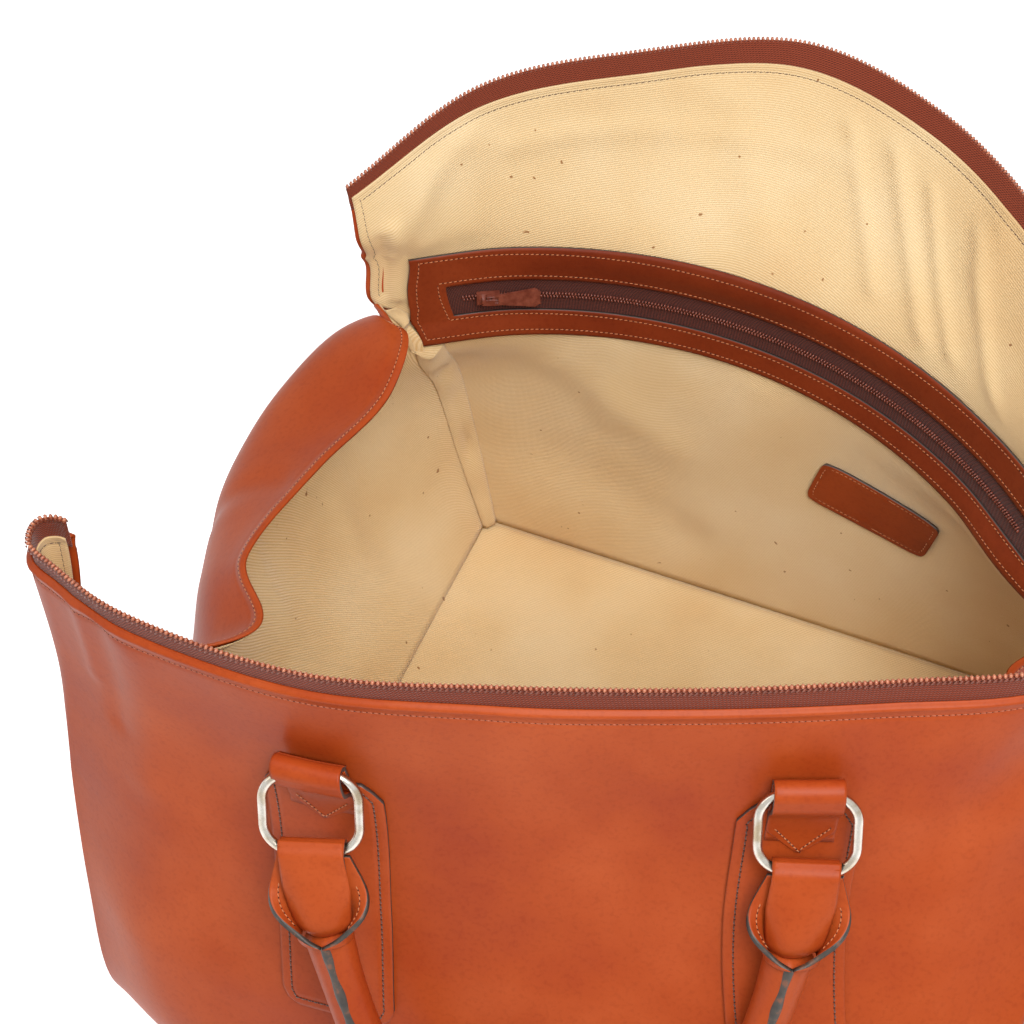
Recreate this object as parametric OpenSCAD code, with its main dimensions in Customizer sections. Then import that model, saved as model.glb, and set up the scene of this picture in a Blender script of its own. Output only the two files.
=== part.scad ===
// Soft leather travel bag standing open, zip parted at the left end.
// Millimetres. X runs to the right, Y to the back, Z up. The base underside is at Z 0.

/* [Bag body] */
// Length of the base
base_l = 430; // [390:5:470]
// Depth of the base
base_d = 380; // [340:5:420]
// Height of the front zip teeth above the ground
mouth_h = 325; // [300:5:350]
// Thickness of the leather shell
leather_t = 1.6; // [1.2:0.1:2]
// Thickness of the cotton lining
lining_t = 0.6; // [0.4:0.1:0.8]
// Thickness of the leather under the base
base_t = 2; // [1.5:0.5:3]
// Thickness of the stiff board in the base
board_t = 2; // [1.5:0.5:3]

/* [Main zip] */
// Thickness of the woven zip tape
tape_t = 0.6; // [0.4:0.1:0.8]
// Width of one closed row of teeth
tooth_w = 2.4; // [2:0.1:3]
// Height of the teeth above and below the tape edge
tooth_h = 4; // [3:0.5:5]
// Distance from the teeth down to the leather edge
edge_drop = 11; // [8:0.5:14]
// Length of the zip slider
slider_l = 15; // [12:0.5:18]
// Length of the slider's pull tab
puller_l = 34; // [28:1:40]

/* [Pocket] */
// Height of the leather frame round the pocket zip
frame_h = 62; // [54:1:68]
// Height of the slot in that frame
slot_h = 20; // [16:1:24]
// Radius of the curve the pocket zip follows
pocket_r = 275; // [265:1:285]
// Length of the sewn label
label_l = 82; // [70:1:90]
// Height of the sewn label
label_h = 38; // [28:1:42]
// How far the left end's lining hangs inwards at the floor
end_slack = 42; // [0:1:45]

/* [Handles] */
// Outer width of the metal rings
ring_w = 50; // [46:1:54]
// Outer height of the metal rings
ring_h = 46; // [42:1:50]
// Diameter of the ring wire
wire_d = 4.7; // [4:0.1:5.2]
// Width of the strap loop that holds a ring
strap_w = 32; // [28:1:34]
// Width of the sewn handle patches
patch_w = 58; // [50:1:64]
// Length of the sewn handle patches
patch_l = 160; // [140:5:175]
// Thickness of patches and loops
patch_t = 2.2; // [1.8:0.1:2.6]
// Diameter of the rolled handle
rope_d = 23; // [20:0.5:25]
// Width of the pear shaped handle ends
tab_w = 48; // [44:1:52]
// Length of the pear shaped handle ends
tab_l = 72; // [64:1:80]
// Drop of the handle from the ring bar to its lowest centre
handle_drop = 178; // [165:1:190]

/* [Hidden] */
$fn = 32;
gap = 0.25;
fit = 0.3;
hl = base_l / 2;
hd = base_d / 2;
floor_z = base_t + fit;
tape_in = leather_t + gap + 0.05;
lining_in = tape_in + tape_t + gap + 0.1;
lining_face = lining_in + lining_t;
zip_off = tape_in + tape_t / 2;
seam_in = leather_t + gap + 0.8;
kx = hl / 215;
ky = hd / 190;
base_y = -45 * ky;
kz = mouth_h / 325;
tail_y = tooth_w / 2 + 0.2;
pocket_x = -40 * kx;
pocket_y = (167 * ky) - pocket_r;
pocket_z = 225 * kz;
pocket_lean = 0.2;
seam_front = 0.8;
seam_back = 0.64;

function P(x, y, z) = [x * kx, y * ky, z * kz];
function mix(a, b, f) = a + (b - a) * f;
function unit(a) = a / norm(a);
function cr(a, b, c, d, f) = 0.5 * (2 * b + (c - a) * f + (2 * a - 5 * b + 4 * c - d) * f * f
    + (3 * b - a - 3 * c + d) * f * f * f);
function seg(L, t) = min(len(L) - 2, max(0, floor(t * (len(L) - 1))));
function spl(L, t) = let (n = len(L) - 1, k = seg(L, t), f = t * n - k,
    a = k == 0 ? 2 * L[0] - L[1] : L[k - 1],
    d = k == n - 1 ? 2 * L[n] - L[n - 1] : L[k + 2]) cr(a, L[k], L[k + 1], d, f);

// Lines of the two zip halves, from the open left end to the joined tail.
ZIP = [
    [P(-262, -180, 320), P(-205, -199, 325), P(-117, -198, 325), P(-34, -172, 325),
     P(49, -140, 325), P(130, -102, 325), P(198, -66, 325),
     [256 * kx, -tail_y, 324 * kz], [318 * kx, -tail_y, 322 * kz]],
    [P(-238, 110, 300), P(-187, 175, 335), P(-113, 223, 345), P(-33, 264, 344),
     P(48, 244, 339), P(118, 190, 335), P(182, 108, 331),
     [256 * kx, tail_y, 324 * kz], [318 * kx, tail_y, 322 * kz]]];
function zip(s, u) = let (L = ZIP[s], k = seg(L, u), f = u * 8 - k)
    k == 7 ? mix(L[7], L[8], f) : k == 6 ? cr(L[5], L[6], L[7], L[6] + 2 * (L[8] - L[7]), f) : spl(L, u);
function zip_dir(s, u) = unit(zip(s, min(1, u + 0.004)) - zip(s, max(0, u - 0.004)));
function zip_out(s, u) = let (d = zip_dir(s, u), q = s == 0 ? 1 : -1) unit([d[1] * q, -d[0] * q, 0]);

// Rows of the front panel from the base up. The empty last row stands for the zip line.
FRONT = [
    [for (k = [0 : 8]) [mix(-hl, hl, k / 8), base_y - hd, floor_z]],
    [P(-235, -240, 28), P(-184, -260, 28), P(-120, -264, 28), P(-58, -262, 28), P(4, -257, 28),
     P(62, -252, 28), P(118, -247, 28), P(170, -242, 28), P(221, -236, 28)],
    [P(-248, -222, 90), P(-194, -248, 90), P(-126, -251, 90), P(-62, -245, 90), P(4, -236, 90),
     P(64, -226, 90), P(120, -216, 90), P(174, -202, 90), P(226, -182, 90)],
    [P(-258, -200, 165), P(-198, -222, 165), P(-126, -223, 165), P(-56, -212, 165), P(8, -198, 165),
     P(70, -184, 165), P(128, -168, 165), P(182, -146, 165), P(228, -114, 165)],
    [P(-257, -187, 240), P(-198, -204, 240), P(-120, -203, 240), P(-44, -187, 240), P(30, -165, 240),
     P(96, -144, 240), P(152, -120, 240), P(196, -92, 240), P(232, -60, 240)],
    []];

// Rows of the back panel. Four of them lie on the cone that carries the pocket.
function cone(r, z, k) = let (a = -36.3 + 11.9 * k) [pocket_x + r * sin(a), pocket_y + r * cos(a), z];
function cone_row(z) = let (r = pocket_r + (z * kz - pocket_z) * pocket_lean)
    concat([for (k = [0 : 7]) cone(r, z * kz, k)], [P(214, 96 - z * 0.3, z)]);
BACK = [
    [for (k = [0 : 8]) [mix(-hl, hl, k / 8), base_y + hd, floor_z]],
    [P(-213, 141, 75), P(-160, 148, 75), P(-107, 150, 75), P(-53, 150, 75), P(2, 150, 75),
     P(56, 147, 75), P(110, 142, 75), P(163, 130, 75), P(216, 108, 75)],
    [P(-209, 130, 150), P(-160, 145, 150), P(-105, 152, 150), P(-50, 154, 150), P(8, 152, 150),
     P(62, 145, 150), P(115, 131, 150), P(165, 106, 150), P(216, 66, 150)],
    cone_row(192),
    cone_row(214),
    cone_row(236),
    cone_row(258),
    [P(-222, 106, 276), P(-176, 157, 293), P(-110, 196, 298), P(-38, 222, 298), P(36, 208, 296),
     P(102, 166, 293), P(160, 108, 290), P(214, 46, 286), P(262, 12, 284)],
    []];

// Columns of the end gussets between the two panels, from the base up to the hem.
function foot(x, k) = [x, base_y + hd * k / 3, floor_z];
LEFT = [
    [foot(-hl, -2), P(-230, -160, 60), P(-232, -146, 130), P(-222, -136, 190), P(-184, -130, 236)],
    [foot(-hl, -1), P(-236, -100, 60), P(-243, -90, 128), P(-238, -84, 192), P(-207, -90, 236)],
    [foot(-hl, 0), P(-243, -44, 60), P(-257, -30, 130), P(-253, -20, 195), P(-197, -22, 236)],
    [foot(-hl, 1), P(-240, 16, 60), P(-254, 28, 135), P(-252, 36, 205), P(-180, 36, 236)],
    [foot(-hl, 2), P(-233, 78, 60), P(-242, 80, 135), P(-236, 78, 208), P(-186, 76, 237)]];
RIGHT = [
    [foot(hl, -2), P(232, -152, 60), P(235, -110, 120), P(226, -74, 180), P(207, -46, 236)],
    [foot(hl, -1), P(234, -94, 60), P(232, -66, 120), P(208, -46, 180), P(182, -31, 236)],
    [foot(hl, 0), P(234, -38, 60), P(229, -26, 120), P(201, -18, 180), P(171, -16, 236)],
    [foot(hl, 1), P(233, 18, 60), P(228, 14, 120), P(203, 8, 180), P(178, -2, 236)],
    [foot(hl, 2), P(229, 72, 60), P(228, 50, 120), P(212, 26, 180), P(195, 10, 236)]];

function rows(s, R, u, v) = spl(
    [for (r = R) len(r) > 0 ? spl(r, u) : zip(s, u) + zip_out(s, u) * zip_off], v);
function ends(C, q, s, t) = spl(concat(
    [into(0, q, seam_front * t, seam_in)],
    [for (c = C) spl(c, t)],
    [into(1, q, seam_back * t, seam_in)]), s);

// The back wing reaches further out at its free end, just above the left end seam.
wing_out = 26 * hl / 215;
function flare(v) = let (t = min(1, max(0, (v - seam_back) * 10)))
    wing_out * t * t * (3 - 2 * t) * pow(min(1, (1 - v) / 0.24), 1.6);
function wing(u, v) = [-0.806, -0.592, 0] * flare(v) * pow(max(0, 1 - u / 0.1), 2);

// Outer surface: 0 front panel, 1 back panel, 2 left gusset, 3 right gusset.
function S(i, u, v) = i == 0 ? rows(0, FRONT, u, v) : i == 1 ? rows(1, BACK, u, v) + wing(u, v)
    : i == 2 ? ends(LEFT, 0, u, v) : ends(RIGHT, 1, u, v);
function side(i) = i == 0 || i == 3 ? -1 : 1;
function N(i, u, v) = let (e = 0.004,
    du = S(i, min(1, u + e), v) - S(i, max(0, u - e), v),
    dv = S(i, u, min(1, v + e)) - S(i, u, max(0, v - e)),
    n = unit(cross(du, dv)) * side(i))
    v == 0 ? unit([n[0], n[1], 0]) : n;
// Point at a depth inside the outer surface. A negative depth stands outside it.
function into(i, u, v, d) = S(i, u, v) + N(i, u, v) * d;

// Closed sheet between two depths, on a grid of rows that may narrow.
module grid_solid(A, B) {
    m = len(A);
    n = len(A[0]);
    pts = concat([for (r = A) for (p = r) p], [for (r = B) for (p = r) p]);
    h = m * n;
    faces = concat(
        [for (j = [0 : m - 2]) for (k = [0 : n - 2]) [j * n + k, j * n + k + 1, (j + 1) * n + k + 1]],
        [for (j = [0 : m - 2]) for (k = [0 : n - 2]) [j * n + k, (j + 1) * n + k + 1, (j + 1) * n + k]],
        [for (j = [0 : m - 2]) for (k = [0 : n - 2])
            [h + j * n + k, h + (j + 1) * n + k + 1, h + j * n + k + 1]],
        [for (j = [0 : m - 2]) for (k = [0 : n - 2])
            [h + j * n + k, h + (j + 1) * n + k, h + (j + 1) * n + k + 1]],
        [for (k = [0 : n - 2]) [k, h + k, h + k + 1]],
        [for (k = [0 : n - 2]) [k, h + k + 1, k + 1]],
        [for (k = [0 : n - 2]) let (a = (m - 1) * n + k) [a, a + 1, h + a + 1]],
        [for (k = [0 : n - 2]) let (a = (m - 1) * n + k) [a, h + a + 1, h + a]],
        [for (j = [0 : m - 2]) [j * n, (j + 1) * n, h + (j + 1) * n]],
        [for (j = [0 : m - 2]) [j * n, h + (j + 1) * n, h + j * n]],
        [for (j = [0 : m - 2]) let (a = j * n + n - 1) [a, h + a, h + a + n]],
        [for (j = [0 : m - 2]) let (a = j * n + n - 1) [a, h + a + n, a + n]]);
    polyhedron(pts, faces);
}

// Places from a to b with the lines L between them that all sheets of one side share.
function cuts(a, b, L) = concat([a], [for (t = L) if (t > a + 0.0005 && t < b - 0.0005) t], [b]);
function lines_u(i) = i < 2 ? panel_us : gusset_us;
function lines_v(i) = i == 0 ? front_vs : i == 1 ? back_vs : gusset_vs;

// Sheet lying on surface i between depths d0 (outer) and d1 (inner).
module layer(i, u0, u1, v0, v1, d0, d1) {
    us = cuts(u0, u1, lines_u(i));
    vs = cuts(v0, v1, lines_v(i));
    A = [for (v = vs) [for (u = us) into(i, u, v, d0)]];
    B = [for (v = vs) [for (u = us) into(i, u, v, d1)]];
    if (side(i) > 0) grid_solid(A, B);
    else grid_solid(B, A);
}

// Frame with a slot: closed loops of (u, v) places on surface i, outer to inner, between two depths.
module loop_solid(i, L, d0, d1) {
    n = len(L[0]);
    m = len(L);
    h = m * n;
    pts = concat([for (r = L) for (p = r) into(i, p[0], p[1], d0)],
        [for (r = L) for (p = r) into(i, p[0], p[1], d1)]);
    faces = concat(
        [for (r = [0 : m - 2]) for (k = [0 : n - 1]) let (j = (k + 1) % n, a = r * n, b = r * n + n) each [
            [a + k, a + j, b + j], [a + k, b + j, b + k],
            [h + a + k, h + b + j, h + a + j], [h + a + k, h + b + k, h + b + j]]],
        [for (k = [0 : n - 1]) let (j = (k + 1) % n, a = (m - 1) * n) each [
            [k, h + k, h + j], [k, h + j, j],
            [a + k, a + j, h + a + j], [a + k, h + a + j, h + a + k]]]);
    polyhedron(pts, faces);
}

// Bar of constant section along a row of centres with out and up directions.
module swept(C, X, Y, w, h) {
    function wall(x) = [for (k = [0 : len(C) - 1]) [for (y = [-h / 2, h / 2]) C[k] + X[k] * x + Y[k] * y]];
    grid_solid(wall(-w / 2), wall(w / 2));
}

// Shell
leather = [0.74, 0.33, 0.17];
dark = [0.5, 0.2, 0.1];
cloth = [0.92, 0.8, 0.6];
steel = [0.75, 0.74, 0.72];
front_top = 1 - 0.2 * edge_drop / 86;
back_top = 1 - 0.125 * edge_drop / 58;
side_in = 5 / (2.3 * hl);
lining_v0 = 0.03;
hem_v = 0.985;
edge_u = 0.02;
tape_low = 7;
front_hem = front_top - 0.004;
back_hem = back_top - 0.004;
front_tape = front_top - 0.2 * tape_low / 86;
back_tape = back_top - 0.125 * tape_low / 58;

// Steps of the shared grids: along the panels, up the front, up the back, and both ways on a gusset.
wall_n = 27;
front_m = 20;
back_m = 28;
end_m = 15;
function even(n, last) = [for (k = [1 : n - 1]) if (k / n < last - 0.004) k / n];
panel_us = concat([side_in], even(wall_n, 1), [1 - side_in]);
gusset_us = concat([edge_u], even(end_m, 1), [1 - edge_u]);
front_vs = concat([lining_v0], even(front_m, front_tape), [front_tape, front_hem, front_top]);
back_vs = concat([lining_v0], even(back_m, back_tape), [back_tape, back_hem, back_top]);
gusset_vs = concat([lining_v0], even(end_m, 1), [hem_v]);

module front_panel() { color(leather) layer(0, 0, 1, 0, front_top, 0, leather_t); }
module back_panel() { color(leather) layer(1, 0, 1, 0, back_top, 0, leather_t); }
module left_gusset() { color(leather) layer(2, 0, 1, 0, 1, 0, leather_t); }
module right_gusset() { color(leather) layer(3, 0, 1, 0, 1, 0, leather_t); }

seat_in = leather_t + gap + 0.15;
module front_lining() {
    color(cloth) layer(0, side_in, 1 - side_in, lining_v0, front_hem, lining_in, lining_face);
}
module back_lining() {
    color(cloth) layer(1, side_in, 1 - side_in, lining_v0, back_hem, lining_in, lining_face);
}
// The left end's lining hangs loose, further inside towards the floor.
module left_gusset_lining() {
    us = cuts(edge_u, 1 - edge_u, gusset_us);
    vs = cuts(lining_v0, hem_v, gusset_vs);
    function slack(v) = [end_slack * pow(1 - v / hem_v, 1.2), 0, 0];
    function sheet(d) = [for (v = vs) [for (u = us) into(2, u, v, d) + slack(v)]];
    color(cloth) grid_solid(sheet(seat_in), sheet(seat_in + lining_t));
}
module right_gusset_lining() {
    color(cloth) layer(3, edge_u, 1 - edge_u, lining_v0, hem_v, seat_in, seat_in + lining_t);
}

module rounded(l, d, r, t) {
    linear_extrude(t) {
        square([l - 2 * r, d], center = true);
        square([l, d - 2 * r], center = true);
        for (x = [-1, 1])
            for (y = [-1, 1])
                translate([x * (l / 2 - r), y * (d / 2 - r)]) circle(r);
    }
}
inner = leather_t + fit;
module base_panel() { color(leather) translate([0, base_y, 0]) rounded(base_l, base_d, 3, base_t); }
module base_board() {
    color(dark) translate([0, base_y, floor_z])
        rounded(base_l - 2 * inner - 6, base_d - 2 * inner - 6, 3, board_t);
}
module base_lining() {
    color(cloth) translate([0, base_y, floor_z + board_t + gap])
        rounded(base_l - 2 * inner - 4, base_d - 2 * inner - 4, 3, lining_t);
}

// Main zip
module zip_half(s) {
    us = cuts(0, 1, panel_us);
    C = [for (u = us) zip(s, u)];
    X = [for (u = us) zip_out(s, u) * (s == 0 ? 1 : -1)];
    Y = [for (u = us) [0, 0, 1]];
    swept(C, X, Y, tooth_w, tooth_h);
}
module front_zip_teeth() { color(steel) zip_half(0); }
module back_zip_teeth() { color(steel) zip_half(1); }
tape_gap = tooth_h / 2 + 0.4;
module zip_tape(s, low, edge, step) {
    us = cuts(0, 1, panel_us);
    vs = cuts(low, edge, lines_v(s));
    near = step / 8;
    function rise(u) = max(0, N(s, u, 1 - near / 2)[2]) * (tape_in + tape_t);
    function top_v(u) = 1 - near * (tape_gap + rise(u)) / (S(s, u, 1)[2] - S(s, u, 1 - near)[2]);
    function sheet(d) = concat(
        [for (v = vs) [for (u = us) into(s, u, v, d)]],
        [[for (u = us) into(s, u, top_v(u), d)]]);
    color(dark) {
        if (side(s) > 0) grid_solid(sheet(tape_in), sheet(tape_in + tape_t));
        else grid_solid(sheet(tape_in + tape_t), sheet(tape_in));
    }
}
module front_zip_tape() { zip_tape(0, front_tape, front_top, 0.2); }
module back_zip_tape() { zip_tape(1, back_tape, back_top, 0.125); }

// Slider on the joined tail. Its frame has X along the tail and Z up.
tail_a = zip(0, 7 / 8);
tail_b = zip(0, 1);
tail_dir = unit([tail_b[0] - tail_a[0], 0, tail_b[2] - tail_a[2]]);
tail_up = [-tail_dir[2], 0, tail_dir[0]];
stop_l = 4;
park = norm(tail_b - tail_a) - stop_l - slider_l / 2 - 1.5;
module at_tail(d) {
    o = [tail_a[0], 0, tail_a[2]] + tail_dir * d;
    multmatrix([[tail_dir[0], 0, tail_up[0], o[0]], [0, 1, 0, 0],
        [tail_dir[2], 0, tail_up[2], o[2]], [0, 0, 0, 1]])
        children();
}
zip_half_w = 0.2 + tooth_w;
slider_t = 1.3;
module zip_slider() {
    color(steel) at_tail(park) {
        w = zip_half_w + fit;
        translate([-slider_l / 2, -w - slider_t, tooth_h / 2 + fit])
            cube([slider_l, 2 * (w + slider_t), slider_t]);
        for (q = [-1, 1])
            translate([-slider_l / 2, q > 0 ? w : -w - slider_t, -tooth_h / 4])
                cube([slider_l, slider_t, tooth_h * 0.75 + fit + slider_t]);
        z = tooth_h / 2 + fit + slider_t;
        difference() {
            translate([-4, -2, z - 0.01]) cube([8, 4, 4.2]);
            translate([-2.4, -3, z]) cube([4.8, 6, 2.6]);
        }
    }
}
pull_z = tooth_h / 2 + fit + slider_t + 1.3;
module zip_puller() {
    color(steel) at_tail(park) translate([0, 0, pull_z]) {
        rotate([90, 0, 0]) cylinder(h = 7, d = 2, center = true);
        difference() {
            translate([-puller_l, -5, -0.8]) cube([puller_l, 10, 1.6]);
            translate([-6.5, -2.6, -2]) cube([12, 5.2, 4]);
        }
    }
}
module zip_bottom_stop() {
    color(steel) at_tail(norm(tail_b - tail_a) - stop_l / 2) difference() {
        w = zip_half_w + fit;
        translate([-stop_l / 2, -w - 1, -tooth_h / 2 + 0.2]) cube([stop_l, 2 * w + 2, tooth_h + 1.2]);
        translate([-stop_l, -w, -tooth_h / 2 - 3]) cube([2 * stop_l, 2 * w, tooth_h + 3 + fit]);
    }
}

// Pocket on the back lining
function back_v(z) = 0.375 + (z / kz - 192) / 176;
mid_v = back_v(pocket_z);
pocket_d0 = lining_face + gap + 0.6;
pocket_d1 = pocket_d0 + tape_t + gap + 0.1;
frame_u0 = 0.022;
frame_u1 = 0.922;
slot_u0 = 0.052;
slot_u1 = 0.895;
function box_loop(u0, u1, v0, v1, n) = concat(
    [for (k = [0 : n - 1]) [mix(u0, u1, k / n), v0]],
    [for (k = [0 : 3]) [u1, mix(v0, v1, k / 4)]],
    [for (k = [0 : n - 1]) [mix(u1, u0, k / n), v1]],
    [for (k = [0 : 3]) [u0, mix(v1, v0, k / 4)]]);
module pocket_frame() {
    hv = frame_h / 2 / kz / 176;
    sv = slot_h / 2 / kz / 176;
    A = box_loop(frame_u0, frame_u1, mid_v - hv, mid_v + hv, 26);
    B = box_loop(slot_u0, slot_u1, mid_v - sv, mid_v + sv, 26);
    color(dark) loop_solid(1, [for (f = [0 : 3]) mix(A, B, f / 3)], pocket_d1, pocket_d1 + leather_t);
}
module pocket_zip_tape() {
    tv = (slot_h / 2 + 4) / kz / 176;
    color(dark) layer(1, slot_u0 - 0.012, slot_u1 + 0.012, mid_v - tv, mid_v + tv,
        pocket_d0, pocket_d0 + tape_t);
}
// The pocket teeth and slider are turned about the upright line through the centre of the curve.
cone_tilt = atan(pocket_lean);
teeth_a0 = -36.3 + 11.9 * 8 * (slot_u0 + 0.006);
teeth_a1 = -36.3 + 11.9 * 8 * (0.86);
pocket_tooth_w = 4;
pocket_tooth_t = 2;
module on_cone(a) {
    translate([pocket_x, pocket_y, pocket_z]) rotate([0, 0, -a]) translate([0, pocket_r, 0])
        rotate([-cone_tilt, 0, 0]) children();
}
module pocket_zip_teeth() {
    as = [for (k = [0 : 36]) mix(teeth_a0, teeth_a1, k / 36)];
    d = pocket_d1 + 0.5 + pocket_tooth_t / 2;
    X = [for (a = as) [-sin(a) * cos(cone_tilt), -cos(a) * cos(cone_tilt), sin(cone_tilt)]];
    Y = [for (a = as) [sin(a) * sin(cone_tilt), cos(a) * sin(cone_tilt), cos(cone_tilt)]];
    C = [for (k = [0 : 36])
        [pocket_x + pocket_r * sin(as[k]), pocket_y + pocket_r * cos(as[k]), pocket_z] + X[k] * d];
    color(dark) swept(C, -X, Y, pocket_tooth_t, pocket_tooth_w);
}
slider_a = teeth_a0 + 3.2;
module pocket_zip_slider() {
    color(dark) on_cone(slider_a) translate([0, -pocket_d1, 0]) {
        w = pocket_tooth_w / 2 + fit;
        y = -pocket_tooth_t - fit - 0.6;
        translate([-6.5, y - 1.4, -w - 1.3]) cube([13, 1.4, 2 * w + 2.6]);
        for (q = [-1, 1])
            translate([-6.5, y - 1.4, q > 0 ? w : -w - 1.3]) cube([13, 1.4 + pocket_tooth_t - 0.4, 1.3]);
        difference() {
            translate([-3.5, y - 5.3, -1.6]) cube([7, 4, 3.2]);
            translate([-2, y - 3.9, -3]) cube([4, 2.5, 6]);
        }
    }
}
pocket_pull_y = pocket_d1 + pocket_tooth_t + fit + 0.6 + 1.4 + 1.25;
module pocket_zip_puller() {
    color(dark) on_cone(slider_a) translate([0, -pocket_pull_y, 0]) {
        cylinder(h = 6, d = 1.7, center = true);
        difference() {
            rotate([90, 0, 0]) linear_extrude(1.4, center = true)
                polygon([[-1, -3.4], [8, -3.4], [26, -6], [29, -4], [29, 4], [26, 6], [8, 3.4], [-1, 3.4]]);
            translate([-6, -2, -2.1]) cube([11.5, 4, 4.2]);
        }
    }
}
label_u = 0.645;
label_v = 0.22;
label_turn = -7.5;
label_d = lining_face + gap + 0.35;
module label_patch() {
    us = [-1, -0.93, -0.7, -0.45, -0.2, 0, 0.2, 0.45, 0.7, 0.93, 1];
    vs = [-1, -0.8, -0.4, 0, 0.4, 0.8, 1];
    function wide(v) = abs(v) == 1 ? 0.94 : 1;
    function place(x, y, d) = into(1,
        label_u + (x * cos(label_turn) - y * sin(label_turn)) / (2.13 * hl),
        label_v + (x * sin(label_turn) + y * cos(label_turn)) / (8 * 75 * kz), d);
    function sheet(d) = [for (v = vs)
        [for (u = us) place(u * label_l / 2 * wide(v), v * label_h / 2, d)]];
    color(dark) grid_solid(sheet(label_d), sheet(label_d + leather_t));
}

// Handle hardware. Each end has a place on its panel, the ring bar line joins the two ends.
FRONT_UV = [[0.257, 0.854], [0.611, 0.875]];
BACK_UV = [[0.175, 0.755], [0.575, 0.755]];
bar_r = wire_d / 2;
patch_in = 0.75;
loop_in = bar_r + 2.8;
loop_out = loop_in + patch_t;
stand = [loop_out + 2.4, loop_out + 7.4];
function place(s, e) = let (q = s == 0 ? FRONT_UV[e] : BACK_UV[e]) into(s, q[0], q[1], -stand[s]);
function bar_x(s) = unit(place(s, 1) - place(s, 0));
lean = [27.5, 3];
function bar_y(s) = unit(cross([0, 0, 1], bar_x(s)));
function hang_z(s) = let (x = bar_x(s), h = bar_y(s), z = cross(x, h), q = s == 0 ? 1 : -1)
    z * cos(lean[s]) + h * sin(lean[s]) * q;
function hang_y(s) = cross(hang_z(s), bar_x(s));
bar_half = norm(place(0, 1) - place(0, 0)) / 2;
function bar_mid(s) = (place(s, 0) + place(s, 1)) / 2;
function bar_at(s, e) = bar_mid(s) + bar_x(s) * bar_half * (e == 0 ? -1 : 1);
module frame_at(o, x, y, z) {
    multmatrix([[x[0], y[0], z[0], o[0]], [x[1], y[1], z[1], o[1]], [x[2], y[2], z[2], o[2]], [0, 0, 0, 1]])
        children();
}
module at_bar(s, e) { frame_at(bar_at(s, e), bar_x(s), hang_y(s), hang_z(s)) children(); }

// Place on a panel across and down from a ring bar, square to the bar.
wide_u = 1 / (2.28 * hl);
function len_v(s) = s == 0 ? 0.2 / 76 : 0.125 / 36;
function drift(s, e) = let (q = s == 0 ? FRONT_UV[e] : BACK_UV[e], v = q[1] - patch_l / 2 * len_v(s))
    len_v(s) * ((S(s, q[0], v + 0.02) - S(s, q[0], v - 0.02)) * bar_x(s))
        / ((S(s, q[0] + 0.02, v) - S(s, q[0] - 0.02, v)) * bar_x(s));
function under_bar(s, e, x, d, out) = let (q = s == 0 ? FRONT_UV[e] : BACK_UV[e])
    into(s, q[0] + x * wide_u + drift(s, e) * d, q[1] - d * len_v(s), -out);

// Sewn patch, narrowing at the top into the loop that holds the ring bar.
module patch(s, e) {
    down = [0, 6, 18, 24, 30, patch_l - 9, patch_l];
    half = [strap_w / 2, strap_w / 2, strap_w / 2 + 1, patch_w / 2 - 5, patch_w / 2, patch_w / 2,
        patch_w / 2 - 7];
    steps = concat([0, 8, 18, 24], [for (k = [0 : 9]) mix(30, patch_l - 9, k / 9)], [patch_l]);
    function half_at(d) = lookup(d, [for (k = [0 : 6]) [down[k], half[k]]]);
    across = [for (k = [0 : 6]) k / 3 - 1];
    function sheet(out) = [for (d = steps) [for (a = across)
        under_bar(s, e, a * half_at(d), d, out)]];
    color(leather) {
        if (s == 0) grid_solid(sheet(patch_in + patch_t), sheet(patch_in));
        else grid_solid(sheet(patch_in), sheet(patch_in + patch_t));
        at_bar(s, e) rotate([0, 90, 0]) difference() {
            cylinder(h = strap_w, r = loop_out, center = true);
            cylinder(h = strap_w + 2, r = loop_in, center = true);
        }
        if (s == 1) strap_leg(e);
    }
}
// Part of the strap that runs from the loop down to a panel that curves away from it.
module strap_leg(e) {
    across = [-1, -0.5, 0, 0.5, 1];
    half = strap_w / 2 - 0.3;
    A = [for (k = [0 : 3]) [for (a = across)
        under_bar(1, e, -a * half, 2 + 7 * k, patch_in + 0.4)]];
    B = [for (k = [0 : 3]) [for (a = across)
        bar_at(1, e) - bar_x(1) * a * half + hang_y(1) * -(loop_in + 0.6) - hang_z(1) * (1 + 3.5 * k)]];
    grid_solid(B, A);
}

corner = 14;
module ring(s, e) {
    a = ring_w / 2 - bar_r - corner;
    b = ring_h / 2 - bar_r - corner;
    color(steel) at_bar(s, e) translate([0, 0, -ring_h / 2 + bar_r]) {
        for (z = [-1, 1])
            translate([0, 0, z * (b + corner)]) rotate([0, 90, 0])
                cylinder(h = 2 * a, r = bar_r, center = true);
        for (x = [-1, 1])
            translate([x * (a + corner), 0, 0]) cylinder(h = 2 * b, r = bar_r, center = true);
        for (k = [0 : 3])
            translate([(k == 0 || k == 3 ? 1 : -1) * a, 0, (k < 2 ? 1 : -1) * b])
                rotate([90, 0, 0]) rotate([0, 0, 90 * k])
                    rotate_extrude(angle = 90) translate([corner, 0]) circle(bar_r);
    }
}

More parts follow.
